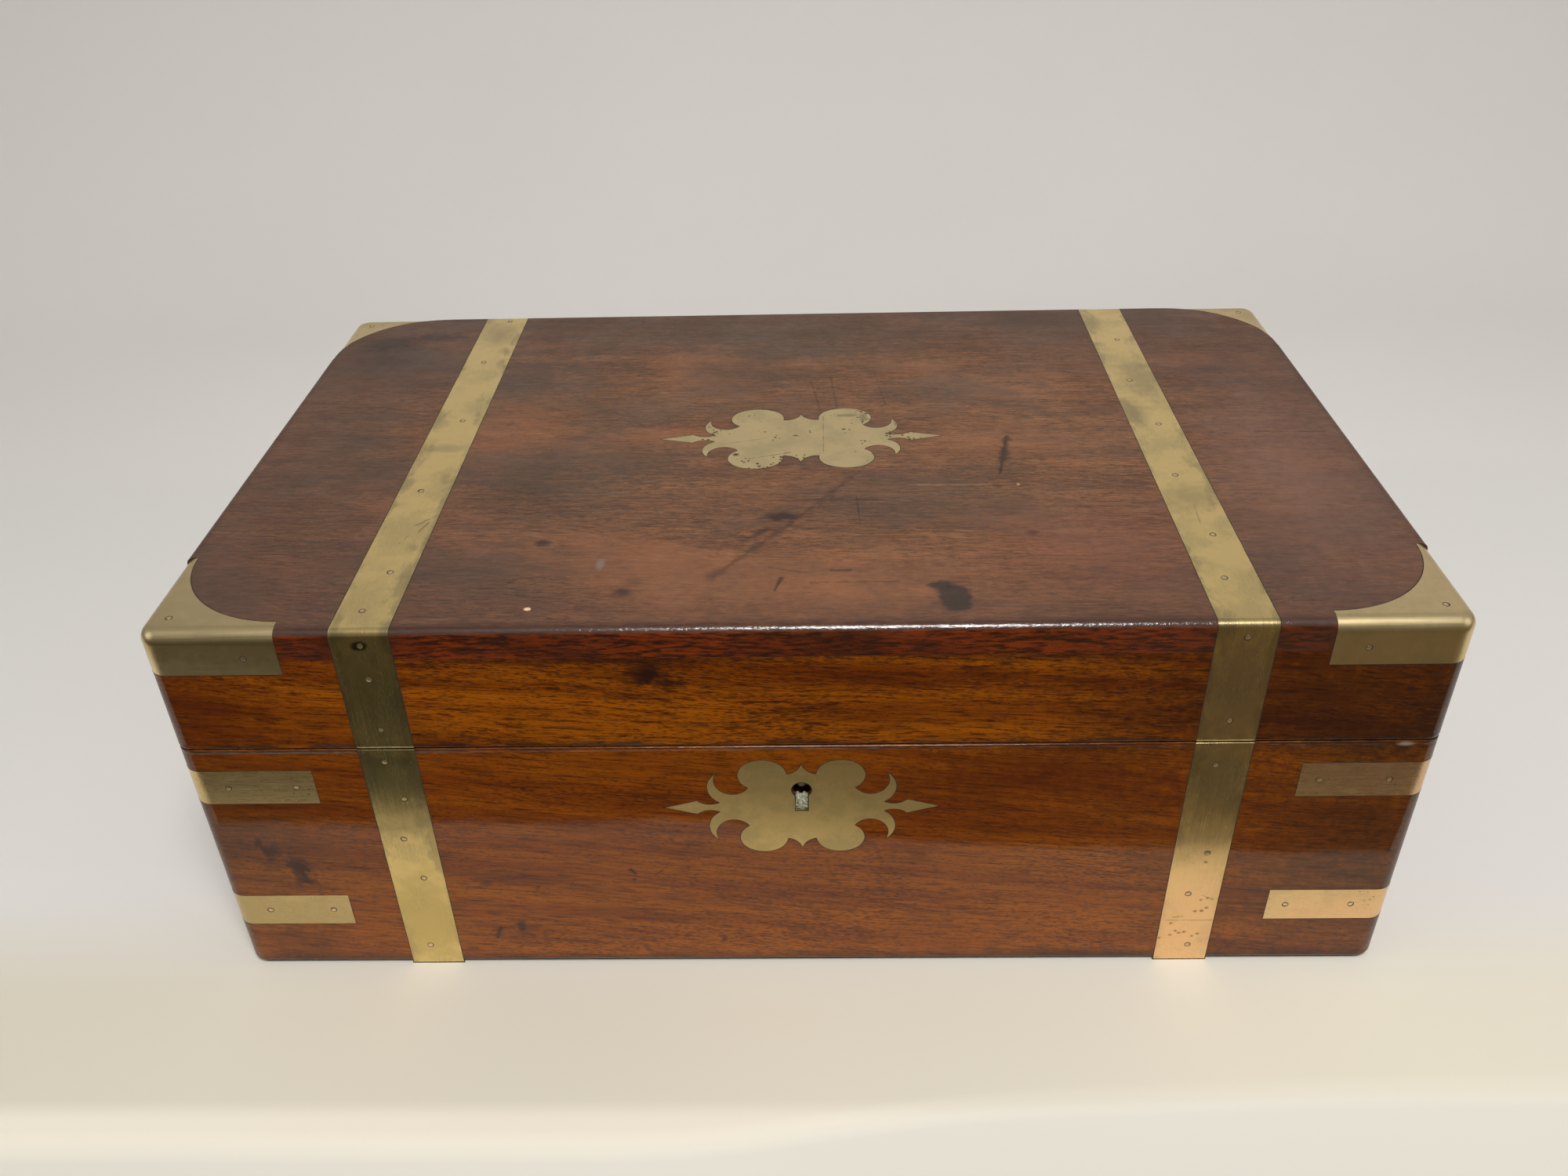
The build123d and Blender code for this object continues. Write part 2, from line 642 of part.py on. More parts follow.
def small_leaf(side, centre_x, toward, own):
    """One leaf of a small hinge: toward is 1 for the fixed leaf, on the rail, and -1 on the flap."""
    half = SMALL_HINGE_LEN / 2
    axis_w = side * RECESS
    v0, v1 = sorted((FLAP_AXIS_V, FLAP_AXIS_V + toward * SMALL_LEAF_W))
    w0, w1 = sorted((axis_w, axis_w + side * SMALL_LEAF_T))
    leaf = block(centre_x - half, centre_x + half, v0, v1, w0, w1)
    leaf -= rod_x(SMALL_KNUCKLE_R + CLEAR, centre_x - half, centre_x + half, FLAP_AXIS_V, axis_w)
    step = SMALL_HINGE_LEN / SMALL_SPANS
    for n in own:
        x0 = centre_x - half + n * step + RUN_FIT
        v2, v3 = sorted((FLAP_AXIS_V, FLAP_AXIS_V + toward * (SMALL_KNUCKLE_R + 1)))
        leaf += block(x0, x0 + step - 2 * RUN_FIT, v2, v3, w0, w1)
        leaf += knuckle(centre_x, n, SMALL_KNUCKLE_R, SMALL_HINGE_LEN, SMALL_SPANS, FLAP_AXIS_V, axis_w)
    bore_x0, bore_x1 = centre_x - half - 1, centre_x + half + 1
    return leaf - rod_x(SMALL_PIN_R + RUN_FIT, bore_x0, bore_x1, FLAP_AXIS_V, axis_w)


def small_mortises(side):
    """Sinkings in rail and flap for the small hinges."""
    cuts = []
    for s in (-1, 1):
        x = s * SMALL_HINGE_X
        half = SMALL_HINGE_LEN / 2
        v0, v1 = FLAP_AXIS_V - SMALL_LEAF_W, FLAP_AXIS_V + SMALL_LEAF_W
        w0, w1 = sorted((side * RIM, side * (RECESS + SMALL_LEAF_T)))
        cuts.append(block(x - half, x + half, v0, v1, w0, w1))
        cuts.append(rod_x(SMALL_KNUCKLE_R + CLEAR, x - half, x + half, FLAP_AXIS_V, side * RECESS))
    return cuts


def small_leaves(side, toward):
    own = (0, 2) if toward > 0 else (1,)
    return [SEAM * small_leaf(side, s * SMALL_HINGE_X, toward, own) for s in (-1, 1)]


def small_pins(side):
    half = SMALL_HINGE_LEN / 2
    pins = []
    for s in (-1, 1):
        x = s * SMALL_HINGE_X
        pins.append(SEAM * rod_x(SMALL_PIN_R, x - half, x + half, FLAP_AXIS_V, side * RECESS))
    return pins


def hinge_rail(side):
    rail = on_surface(side, RAIL_V[0], RAIL_V[1], FLAP_T + CLEAR, HALF_IN)
    inside = block(-FAR, FAR, -FAR, INNER_BACK, -FAR, FAR)
    return (SEAM * (rail - small_mortises(side))) & inside


def flap_board(side, end_v):
    board = on_surface(side, end_v, FLAP_TOP_V, FLAP_T, FLAP_HALF_W)
    return SEAM * (board - flap_leather(side, end_v) - small_mortises(side))


def side_ledges(side, y_from):
    """Square cleats along both side walls that carry a flap and its hinge rail."""
    w0, w1 = sorted((side * (RECESS + FLAP_T + CLEAR), side * (RECESS + FLAP_T + CLEAR + LEDGE_H)))
    room = block(-FAR, FAR, y_from, INNER_BACK, -FAR, FAR)
    ledges = []
    for x0, x1 in ((-HALF_IN, -HALF_IN + LEDGE_W), (HALF_IN - LEDGE_W, HALF_IN)):
        ledges.append((SEAM * block(x0, x1, -FAR, 0, w0, w1)) & room)
    return ledges


def lid_front_ledge():
    w0 = RECESS + FLAP_T + CLEAR
    half = HALF_IN - LEDGE_W
    cleat = SEAM * block(-half, half, -FAR, 0, w0, w0 + LEDGE_H)
    return cleat & block(-FAR, FAR, INNER_FRONT, INNER_FRONT + LEDGE_W, -FAR, FAR)


# ---- turn button on the lid's front rail
CATCH_X = 75.0
CATCH_V = along(FRONT + 5.2)
CATCH_W = (0.9, 1.6)
CATCH_REACH = 11.0
CATCH_HALF = 2.6
CATCH_PIVOT_R = 1.2


def flap_catch():
    """A little turn button: round at the pivot and at the tip, pointing over the flap."""
    bar = Pos(0, CATCH_REACH / 2) * Rectangle(2 * CATCH_HALF, CATCH_REACH)
    plan = bar + Circle(CATCH_HALF) + Pos(0, CATCH_REACH) * Circle(CATCH_HALF)
    plan -= Circle(CATCH_PIVOT_R + RUN_FIT)
    return SEAM * (Pos(CATCH_X, CATCH_V, CATCH_W[0]) * extrude(plan, CATCH_W[1] - CATCH_W[0]))


def catch_recess():
    half = CATCH_HALF + 0.6
    far = CATCH_REACH + CATCH_HALF + 0.6
    return SEAM * block(CATCH_X - half, CATCH_X + far, CATCH_V - half, along(INNER_FRONT) + 5, 0, RECESS)


def catch_screw():
    """Pivot screw with a flat head over the turn button."""
    head = peg(2.2, 0.35, (CATCH_X, CATCH_V, CATCH_W[0] - RUN_FIT), (0, 0, -1))
    shank = peg(CATCH_PIVOT_R, 9.0, (CATCH_X, CATCH_V, CATCH_W[0] - RUN_FIT), (0, 0, 1))
    slot = Pos(CATCH_X, CATCH_V, CATCH_W[0] - 0.45) * Rot(0, 0, 30) * Box(5, 0.5, 0.4)
    return SEAM * (head + shank - slot)


# ---- frames of base and lid, mitred at the corners
def mitre(frame):
    """Cuts a four-sided frame into its front, back, left and right boards."""
    reach = WALL + 3
    inner_y0, inner_y1 = FRONT + reach, BACK - reach
    inner_x = HALF_W - reach
    plans = {
        "front": ((-HALF_W, FRONT), (HALF_W, FRONT), (inner_x, inner_y0), (-inner_x, inner_y0)),
        "back": ((-HALF_W, BACK), (-inner_x, inner_y1), (inner_x, inner_y1), (HALF_W, BACK)),
        "left": ((-HALF_W, FRONT), (-inner_x, inner_y0), (-inner_x, inner_y1), (-HALF_W, BACK)),
        "right": ((HALF_W, FRONT), (HALF_W, BACK), (inner_x, inner_y1), (inner_x, inner_y0)),
    }
    boards = {}
    for name, points in plans.items():
        face = make_face(Polyline(*points, close=True))
        boards[name] = frame & extrude(face, HEIGHT + 1, dir=(0, 0, 1))
    return boards


def outer_rim_edges(frame, w):
    """The edges of a frame that lie in a plane of the seam frame and on the outside of the case."""
    to_seam = SEAM.inverse()
    chosen = []
    for edge in frame.edges():
        points = [edge @ t for t in (0, 0.5, 1)]
        flat = all(abs((to_seam * Pos(*p)).position.Z - w) < 0.01 for p in points)
        middle = points[1]
        outside = abs(middle.X) > HALF_IN + 1 or middle.Y < INNER_FRONT - 1 or middle.Y > INNER_BACK + 1
        if flat and outside:
            chosen.append(edge)
    return chosen


CAVITY = block(-HALF_IN, HALF_IN, INNER_FRONT, INNER_BACK, -FAR, FAR)


def base_boards():
    frame = (CASE & BELOW_SEAM) - CAVITY
    frame = fillet(outer_rim_edges(frame, -RIM), SEAM_EASE)
    half = HALF_IN + BOTTOM_TONGUE
    frame -= block(-half, half, INNER_FRONT - BOTTOM_TONGUE, INNER_BACK + BOTTOM_TONGUE, 0, FLOOR_Z)
    return mitre(frame)


def lid_boards():
    frame = (CASE & ABOVE_SEAM & block(-FAR, FAR, -FAR, FAR, 0, TOP_JOINT_Z)) - CAVITY
    frame = fillet(outer_rim_edges(frame, RIM), SEAM_EASE)
    return mitre(frame)


def fitted(body, cuts):
    """A body with everything cut away, one thing at a time, that is let into it."""
    room = body.bounding_box()
    for cut in cuts:
        if room.overlaps(cut.bounding_box()):
            body = body - cut
    return body


nodes = {}

# base: boards and the brass let into them
base_straps = [strap_hoop(s) & BELOW_SEAM for s in (-1, 1)]
base_strap_pockets = [strap_hoop(s, INLAY_GAP) & BELOW_SEAM for s in (-1, 1)]
front_half = block(-FAR, FAR, -FAR, 0, -FAR, FAR)
back_half = block(-FAR, FAR, 0, FAR, -FAR, FAR)
front_pockets = corner_strips(-1, INLAY_GAP)
back_pockets = corner_strips(1, INLAY_GAP)
escutcheon_pocket = on_front(offset(ESCUTCHEON_OUTLINE, INLAY_GAP))
lock_holes = [f.hole for f in LOCK_FIXINGS]
base_leaf_holes = [f.hole for f in BASE_LEAF_FIXINGS]

boards = base_boards()
nodes["base_front_board"] = fitted(
    boards["front"],
    base_strap_pockets + front_pockets + BASE_PINS + lock_mortise() + lock_holes
    + [escutcheon_pocket, keyhole(WALL)],
)
nodes["base_back_board"] = fitted(
    boards["back"],
    base_strap_pockets + back_pockets + BASE_PINS + leaf_mortises(-1) + base_leaf_holes,
)
for side in ("left", "right"):
    nodes[f"base_{side}_board"] = fitted(boards[side], front_pockets + back_pockets + BASE_PINS)

tongue = BOTTOM_TONGUE
nodes["bottom_board"] = block(
    -HALF_IN - tongue, HALF_IN + tongue, INNER_FRONT - tongue, INNER_BACK + tongue, BAIZE_T, FLOOR_Z
)
felt_x = HALF_W - BAIZE_INSET
felt = block(-felt_x, felt_x, FRONT + BAIZE_INSET, BACK - BAIZE_INSET, 0, BAIZE_T)
nodes["baize"] = fillet(felt.edges().filter_by(Axis.Z), CORNER_R - BAIZE_INSET)
nodes["base_front_straps"] = group(*[fitted(s & front_half, BASE_PINS) for s in base_straps])
nodes["base_back_straps"] = group(*[fitted(s & back_half, BASE_PINS) for s in base_straps])
nodes["base_front_corner_strips"] = group(*[fitted(s, BASE_PINS) for s in corner_strips(-1)])
nodes["base_back_corner_strips"] = group(*[fitted(s, BASE_PINS) for s in corner_strips(1)])
nodes["escutcheon"] = on_front(ESCUTCHEON_OUTLINE) - keyhole(WALL)
nodes["base_pins"] = group(*BASE_PINS)

# base: lock and main hinges
nodes["lock_case"] = lock_case()
nodes["lock_cap"] = fitted(lock_cap(), lock_holes)
nodes["lock_key_pin"] = key_pin()
nodes["lock_bolt"] = lock_bolt()
nodes["base_screws"] = group(*[f.solid for f in LOCK_FIXINGS + BASE_LEAF_FIXINGS])
nodes["main_hinge_base_leaves"] = group(*main_leaves(-1, BASE_LEAF_FIXINGS))
nodes["main_hinge_pins"] = group(*main_pins())

# base: compartments
lip_top = SEAM * block(-FAR, FAR, -FAR, FAR, -FAR, -RECESS)
ledge_top = SEAM * block(-FAR, FAR, -FAR, FAR, -FAR, -RECESS - FLAP_T - CLEAR)
rail_lip = block(-HALF_IN, HALF_IN, REST_RAIL_Y, REST_LEDGE_Y, FLOOR_Z, HEIGHT) & lip_top
rail_ledge = block(-HALF_IN, HALF_IN, REST_LEDGE_Y, REST_LEDGE_Y + REST_RAIL_LIP, FLOOR_Z, HEIGHT)
rail_ledge &= ledge_top
nodes["flap_rest_rail"] = rail_lip + rail_ledge
cell_x = HALF_IN - INK_CELL_W
walls = []
floors = []
cleats = []
for s in (-1, 1):
    x0, x1 = sorted((s * (cell_x - PARTITION_T), s * cell_x))
    walls.append(block(x0, x1, INNER_FRONT, REST_RAIL_Y, FLOOR_Z, PARTITION_TOP))
    x0, x1 = sorted((s * cell_x, s * HALF_IN))
    floors.append(block(x0, x1, INNER_FRONT, REST_RAIL_Y, INK_FLOOR_Z, INK_FLOOR_Z + INK_FLOOR_T))
    x0, x1 = sorted((s * (cell_x - PARTITION_T - TRAY_CLEAT_W), s * (cell_x - PARTITION_T)))
    cleats.append(block(x0, x1, INNER_FRONT, REST_RAIL_Y, TRAY_Z - TRAY_CLEAT_H, TRAY_Z))
nodes["pen_partitions"] = group(*walls)
nodes["inkwell_floors"] = group(*floors)
nodes["base_ledges"] = group(*side_ledges(-1, REST_LEDGE_Y + REST_RAIL_LIP), *cleats)

tray_half = cell_x - PARTITION_T - TRAY_GAP
tray_y = (INNER_FRONT + REST_RAIL_Y) / 2
tray = Pos(0, tray_y, TRAY_Z + TRAY_H / 2) * Box(2 * tray_half, PEN_DEPTH - 2 * TRAY_GAP, TRAY_H)
trough = extrude(SlotOverall(2 * (tray_half - TROUGH_END), TROUGH_W), TROUGH_DEEP + 5)
trough = fillet(trough.edges().group_by(Axis.Z)[0], TROUGH_R)
tray -= Pos(0, tray_y, TRAY_Z + TRAY_H - TROUGH_DEEP) * trough
nodes["pen_tray"] = fillet(tray.edges().filter_by(Axis.Z).group_by(SortBy.LENGTH)[-1], 1.0)

# base: inkwells
INK_Y = tray_y
INK_Z = INK_FLOOR_Z + INK_FLOOR_T
COLLAR_Z = INK_Z + BOTTLE_H + NECK_H - COLLAR_H
CAP_Z = COLLAR_Z + COLLAR_H + CAP_LIFT
CAP_AXIS_Z = CAP_Z - CAP_LIFT / 2
STAND = (Align.CENTER, Align.CENTER, Align.MIN)


def ink_bottle(x):
    """Square glass inkwell with soft shoulders, a round neck and a hollow."""
    body = Box(BOTTLE, BOTTLE, BOTTLE_H, align=STAND)
    body = fillet(body.edges().filter_by(Axis.Z), 3.0)
    body = fillet(body.edges().group_by(Axis.Z)[-1], 3.5)
    body += Pos(0, 0, BOTTLE_H) * Cylinder(NECK_R, NECK_H, align=STAND)
    inner = BOTTLE - 2 * BOTTLE_SIDE
    hollow = Pos(0, 0, BOTTLE_FLOOR) * Box(inner, inner, BOTTLE_H - 12, align=STAND)
    hollow = fillet(hollow.edges(), 4.0)
    bore = Pos(0, 0, BOTTLE_FLOOR + 8) * Cylinder(NECK_BORE_R, BOTTLE_H, align=STAND)
    return Pos(x, INK_Y, INK_Z) * (body - hollow - bore)


def lug(x0, x1, web_z0, web_z1):
    """A knuckle on the cap's axis with a web that runs back to the ring."""
    barrel = rod_x(LUG_R, x0, x1, CAP_AXIS_OUT, CAP_AXIS_Z)
    return barrel + block(x0, x1, COLLAR_R - 2.0, CAP_AXIS_OUT, web_z0, web_z1)


def ink_collar():
    """Brass ring round the neck, with two lugs for the cap's pin."""
    ring = Pos(0, 0, COLLAR_Z) * Cylinder(COLLAR_R, COLLAR_H, align=STAND)
    ring = fillet(ring.edges().group_by(Axis.Z)[0], 0.8)
    top = COLLAR_Z + COLLAR_H
    ring += lug(-LUG_OUT, -LUG_HALF - CLEAR, top - LUG_WEB, top)
    ring += lug(LUG_HALF + CLEAR, LUG_OUT, top - LUG_WEB, top)
    ring -= Pos(0, 0, COLLAR_Z) * Cylinder(NECK_R, COLLAR_H, align=STAND)
    return ring - rod_x(CAP_PIN_R + RUN_FIT, -LUG_OUT - 1, LUG_OUT + 1, CAP_AXIS_OUT, CAP_AXIS_Z)


def ink_cap():
    """Domed cap with its own lug between the collar's two."""
    disc = Pos(0, 0, CAP_Z) * Cylinder(COLLAR_R, CAP_H, align=STAND)
    disc = fillet(disc.edges().group_by(Axis.Z)[-1], 2.6)
    disc += lug(-LUG_HALF, LUG_HALF, CAP_Z, CAP_Z + LUG_WEB)
    clear = rod_x(LUG_R + CLEAR, -LUG_OUT - CLEAR, -LUG_HALF, CAP_AXIS_OUT, CAP_AXIS_Z)
    clear += rod_x(LUG_R + CLEAR, LUG_HALF, LUG_OUT + CLEAR, CAP_AXIS_OUT, CAP_AXIS_Z)
    return disc - clear - rod_x(CAP_PIN_R + RUN_FIT, -LUG_OUT, LUG_OUT, CAP_AXIS_OUT, CAP_AXIS_Z)


INK_X = (cell_x + HALF_IN) / 2
collars = []
cap_pins = []
for side, s in (("left", -1), ("right", 1)):
    place = Pos(s * INK_X, INK_Y, 0)
    nodes[f"ink_bottle_{side}"] = ink_bottle(s * INK_X)
    nodes[f"ink_cap_{side}"] = place * ink_cap()
    collars.append(place * ink_collar())
    cap_pins.append(place * rod_x(CAP_PIN_R, -LUG_OUT, LUG_OUT, CAP_AXIS_OUT, CAP_AXIS_Z))
nodes["ink_collars"] = group(*collars)
nodes["ink_cap_pins"] = group(*cap_pins)

# base: writing flap
nodes["base_hinge_rail"] = hinge_rail(-1)
nodes["base_flap_fixed_leaves"] = group(*small_leaves(-1, 1))
nodes["base_flap_hinge_pins"] = group(*small_pins(-1))
nodes["base_flap_board"] = flap_board(-1, BASE_FLAP_END_V)
nodes["base_flap_leather"] = SEAM * flap_leather(-1, BASE_FLAP_END_V)
nodes["base_flap_moving_leaves"] = group(*small_leaves(-1, -1))

# lid: boards and the brass let into them
lid_straps = {}
lid_strap_pockets = []
for side, s in (("left", -1), ("right", 1)):
    lid_straps[side] = strap_hoop(s) & ABOVE_SEAM
    lid_strap_pockets.append(strap_hoop(s, INLAY_GAP) & ABOVE_SEAM)
bracket_pockets = []
for side, s in (("left", -1), ("right", 1)):
    for end, e in (("front", -1), ("back", 1)):
        nodes[f"bracket_{end}_{side}"] = fitted(bracket(s, e), LID_PINS)
        bracket_pockets.append(bracket_pocket(s, e))
    nodes[f"lid_strap_{side}"] = fitted(lid_straps[side], LID_PINS)

lid_inlays = lid_strap_pockets + bracket_pockets + LID_PINS
boards = lid_boards()
link_recess = SEAM * block(
    KEY_X - LINK_HALF, KEY_X + LINK_HALF, LINK_V[0], LINK_V[1], 0, RIM + SELVEDGE_T
)
nodes["lid_top_board"] = fitted(
    CASE & block(-FAR, FAR, -FAR, FAR, TOP_JOINT_Z, FAR),
    lid_inlays + [on_top(offset(PLAQUE_OUTLINE, INLAY_GAP))],
)
nodes["lid_front_rail"] = fitted(
    boards["front"],
    lid_inlays + [f.hole for f in LINK_FIXINGS] + [link_recess, catch_recess(), catch_screw()],
)
nodes["lid_back_rail"] = fitted(
    boards["back"], lid_inlays + leaf_mortises(1) + [f.hole for f in LID_LEAF_FIXINGS]
)
for side in ("left", "right"):
    nodes[f"lid_{side}_rail"] = fitted(boards[side], lid_inlays)
nodes["name_plaque"] = on_top(PLAQUE_OUTLINE)
nodes["lid_pins"] = group(*LID_PINS)

# lid: hinges, link plate, flap and turn button
nodes["link_plate"] = fitted(link_plate(), [f.hole for f in LINK_FIXINGS])
nodes["main_hinge_lid_leaves"] = group(*main_leaves(1, LID_LEAF_FIXINGS))
nodes["lid_screws"] = group(*[f.solid for f in LINK_FIXINGS + LID_LEAF_FIXINGS], catch_screw())
nodes["lid_hinge_rail"] = hinge_rail(1)
nodes["lid_flap_board"] = flap_board(1, LID_FLAP_END_V)
nodes["lid_flap_leather"] = SEAM * flap_leather(1, LID_FLAP_END_V)
nodes["lid_flap_hinges"] = group(*small_leaves(1, 1), *small_leaves(1, -1), *small_pins(1))
nodes["lid_flap_ledges"] = group(*side_ledges(1, INNER_FRONT), lid_front_ledge())
nodes["flap_catch"] = flap_catch()

os.makedirs("parts", exist_ok=True)
for name, body in nodes.items():
    export_step(body, f"parts/{name}.step")

flap_axis = (SEAM * Pos(0, FLAP_AXIS_V, -RECESS)).position
catch_axis = (SEAM * Pos(CATCH_X, CATCH_V, 0)).position
print(f"slope {degrees(SLOPE):.3f} degrees, hinge axis at y {AXIS_Y:.2f} z {AXIS_Z:.2f}")
print(f"flap axis at y {flap_axis.Y:.3f} z {flap_axis.Z:.3f}")
print(f"catch axis at {catch_axis.X:.3f} {catch_axis.Y:.3f} {catch_axis.Z:.3f}")
print(f"cap axis at x {INK_X:.2f} y {INK_Y + CAP_AXIS_OUT:.2f} z {CAP_AXIS_Z:.2f}, {len(nodes)} nodes")
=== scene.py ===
# %% [markdown]
# # A brass-bound writing slope
#
# This notebook dresses the CAD model of a mahogany writing box. The box is cut on a slant: its lid
# turns over to the back, and the two halves then make one long leather-lined slope to write on.
# The wood is French polished, the straps, corners and cartouches are brass sheet let in flush, and
# everything has two centuries of handling on it.
#
# Every cell does one job. The first one loads the CAD solids. They stay where they are; what we add
# is a camera, a table, lights, the finishes, and the small pieces that are too fine for the CAD.

# %% Load the box
import math
import random

import bmesh
import bpy
from mathutils import Matrix, Vector


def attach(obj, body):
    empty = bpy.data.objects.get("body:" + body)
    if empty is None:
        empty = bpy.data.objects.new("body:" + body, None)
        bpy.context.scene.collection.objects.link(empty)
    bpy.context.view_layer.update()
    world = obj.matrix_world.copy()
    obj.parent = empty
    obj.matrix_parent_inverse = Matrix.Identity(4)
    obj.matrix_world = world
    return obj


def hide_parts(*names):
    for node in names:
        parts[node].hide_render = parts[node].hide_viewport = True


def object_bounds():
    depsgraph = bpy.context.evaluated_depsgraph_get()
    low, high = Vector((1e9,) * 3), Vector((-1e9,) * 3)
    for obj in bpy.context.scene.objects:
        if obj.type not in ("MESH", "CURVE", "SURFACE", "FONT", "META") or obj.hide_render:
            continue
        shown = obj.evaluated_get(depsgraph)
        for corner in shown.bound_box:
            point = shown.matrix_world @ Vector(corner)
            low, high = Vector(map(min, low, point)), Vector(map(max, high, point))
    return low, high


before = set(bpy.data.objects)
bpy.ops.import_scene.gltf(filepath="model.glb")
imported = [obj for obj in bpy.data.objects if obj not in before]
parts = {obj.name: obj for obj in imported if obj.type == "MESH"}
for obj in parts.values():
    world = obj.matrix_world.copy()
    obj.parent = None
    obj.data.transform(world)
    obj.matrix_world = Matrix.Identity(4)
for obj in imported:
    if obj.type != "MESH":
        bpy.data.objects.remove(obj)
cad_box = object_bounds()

MM = 0.001
low, high = cad_box
print("box", [round(v / MM, 1) for v in high - low], "mm,", len(parts), "solids")

# %% [markdown]
# ## The camera
#
# The box is seen by someone standing over it at a table: from the front, a little above, and close,
# so its front looks wider than its back. A camera in Blender looks along its own -Z, so it is
# easiest to give the place it looks at and let `to_track_quat` turn it. A hand-held camera is never
# quite level, so a small roll is added last.

# %% The camera
CAMERA_AT = Vector((0.0047, -0.4441, 0.3776))
LOOKING = Vector((-0.02377, 0.82991, -0.55738))
ROLL = math.radians(-1.557)
LENS = 30.18
SENSOR_WIDTH = 36.0

camera = bpy.data.objects.new("camera", bpy.data.cameras.new("camera"))
bpy.context.scene.collection.objects.link(camera)
turn = LOOKING.to_track_quat("-Z", "Y").to_matrix().to_4x4()
camera.matrix_world = Matrix.Translation(CAMERA_AT) @ turn @ Matrix.Rotation(ROLL, 4, "Z")
camera.data.lens = LENS
camera.data.sensor_width = SENSOR_WIDTH
bpy.context.scene.camera = camera
print("camera looks down by", round(math.degrees(math.asin(-LOOKING.z)), 1), "degrees")

# %% [markdown]
# ## Building shaders in code
#
# A material is a small graph of nodes. Typing each node and link out in full is long, so helpers do
# it. One adds a node and feeds it, a few do sums on values and on places, one spreads a value from
# one range to another, and one lays tints over a colour. A feed is either a plain number or colour,
# or another node's output.


# %% Helpers for node graphs
def add_node(tree, kind, feeds=None, **settings):
    """Adds a node. feeds maps its inputs, by name or number, to values or to other outputs."""
    made = tree.nodes.new(kind)
    for name, value in settings.items():
        setattr(made, name, value)
    for key, value in (feeds or {}).items():
        if isinstance(value, bpy.types.NodeSocket):
            tree.links.new(value, made.inputs[key])
        else:
            made.inputs[key].default_value = value
    return made


def sums(tree, operation, a, b=0.0, clamp=False):
    """One step of arithmetic."""
    made = add_node(tree, "ShaderNodeMath", {0: a, 1: b}, operation=operation, use_clamp=clamp)
    return made.outputs[0]


def times(tree, a, b):
    """a times b."""
    return sums(tree, "MULTIPLY", a, b)


def plus(tree, a, b):
    """a and b together."""
    return sums(tree, "ADD", a, b)


def minus(tree, a, b):
    """a less b. One minus a mask is high where the mask is low."""
    return sums(tree, "SUBTRACT", a, b)


def spread(tree, value, from_low, from_high, to_low=0.0, to_high=1.0):
    """Maps a range to another with soft ends."""
    feeds = {0: value, 1: from_low, 2: from_high, 3: to_low, 4: to_high}
    made = add_node(tree, "ShaderNodeMapRange", feeds, interpolation_type="SMOOTHSTEP")
    return made.outputs[0]


def place_sums(tree, operation, a, b=(0, 0, 0)):
    """One step of arithmetic on places, axis by axis."""
    return add_node(tree, "ShaderNodeVectorMath", {0: a, 1: b}, operation=operation).outputs["Vector"]


def measured(tree, operation, a, b=(0, 0, 0)):
    """A number measured on places: a length, or how far one runs along another."""
    return add_node(tree, "ShaderNodeVectorMath", {0: a, 1: b}, operation=operation).outputs["Value"]


def axes(tree, place):
    """A place taken apart into its X, Y and Z."""
    return add_node(tree, "ShaderNodeSeparateXYZ", {0: place}).outputs


def scaled(tree, place, scale):
    """A place stretched along each axis, which squeezes a pattern that is read there."""
    return place_sums(tree, "MULTIPLY", place, scale)


print("helpers for sums ready")


# %% Helpers for patterns and surfaces
def noise(tree, place, detail=2.0, roughness=0.5):
    """Cloudy noise, about one blotch to a unit of place."""
    feeds = {"Vector": place, "Scale": 1.0, "Detail": detail, "Roughness": roughness}
    return add_node(tree, "ShaderNodeTexNoise", feeds).outputs["Fac"]


def cell_distance(tree, place, randomness=1.0, feature="F1"):
    """Cells, about one to a unit of place: the distance from a cell's middle, or from its walls."""
    feeds = {"Vector": place, "Scale": 1.0, "Randomness": randomness}
    made = add_node(tree, "ShaderNodeTexVoronoi", feeds, voronoi_dimensions="3D", feature=feature)
    return made.outputs["Distance"]


def mixed(tree, factor, a, b):
    """Two colours mixed."""
    feeds = {0: factor, 6: a, 7: b}
    return add_node(tree, "ShaderNodeMix", feeds, data_type="RGBA").outputs[2]


def tinted(tree, colour, layers):
    """Lays tints over a colour. A layer is (pattern, none at, full at, strength, tint)."""
    for pattern, none_at, full_at, strength, tint in layers:
        colour = mixed(tree, spread(tree, pattern, none_at, full_at, 0.0, strength), colour, tint)
    return colour


def raised(tree, height, strength, distance, over=None):
    """A normal that leans as a height does, laid over another normal if one is given."""
    feeds = {"Height": height, "Strength": strength, "Distance": distance}
    if over is not None:
        feeds["Normal"] = over
    return add_node(tree, "ShaderNodeBump", feeds).outputs[0]


def object_place(tree):
    """The place on the box, in metres."""
    return add_node(tree, "ShaderNodeTexCoord").outputs["Object"]


def new_material(name):
    """An empty material and its graph."""
    made = bpy.data.materials.new(name)
    made.use_nodes = True
    made.node_tree.nodes.clear()
    return made, made.node_tree


def finish_material(tree, surface):
    """Ends a material in a shader that has been made."""
    add_node(tree, "ShaderNodeOutputMaterial", {"Surface": surface})


def principled(tree, feeds):
    """Ends a material in one Principled shader."""
    finish_material(tree, add_node(tree, "ShaderNodeBsdfPrincipled", feeds).outputs[0])


print("helpers for patterns ready")


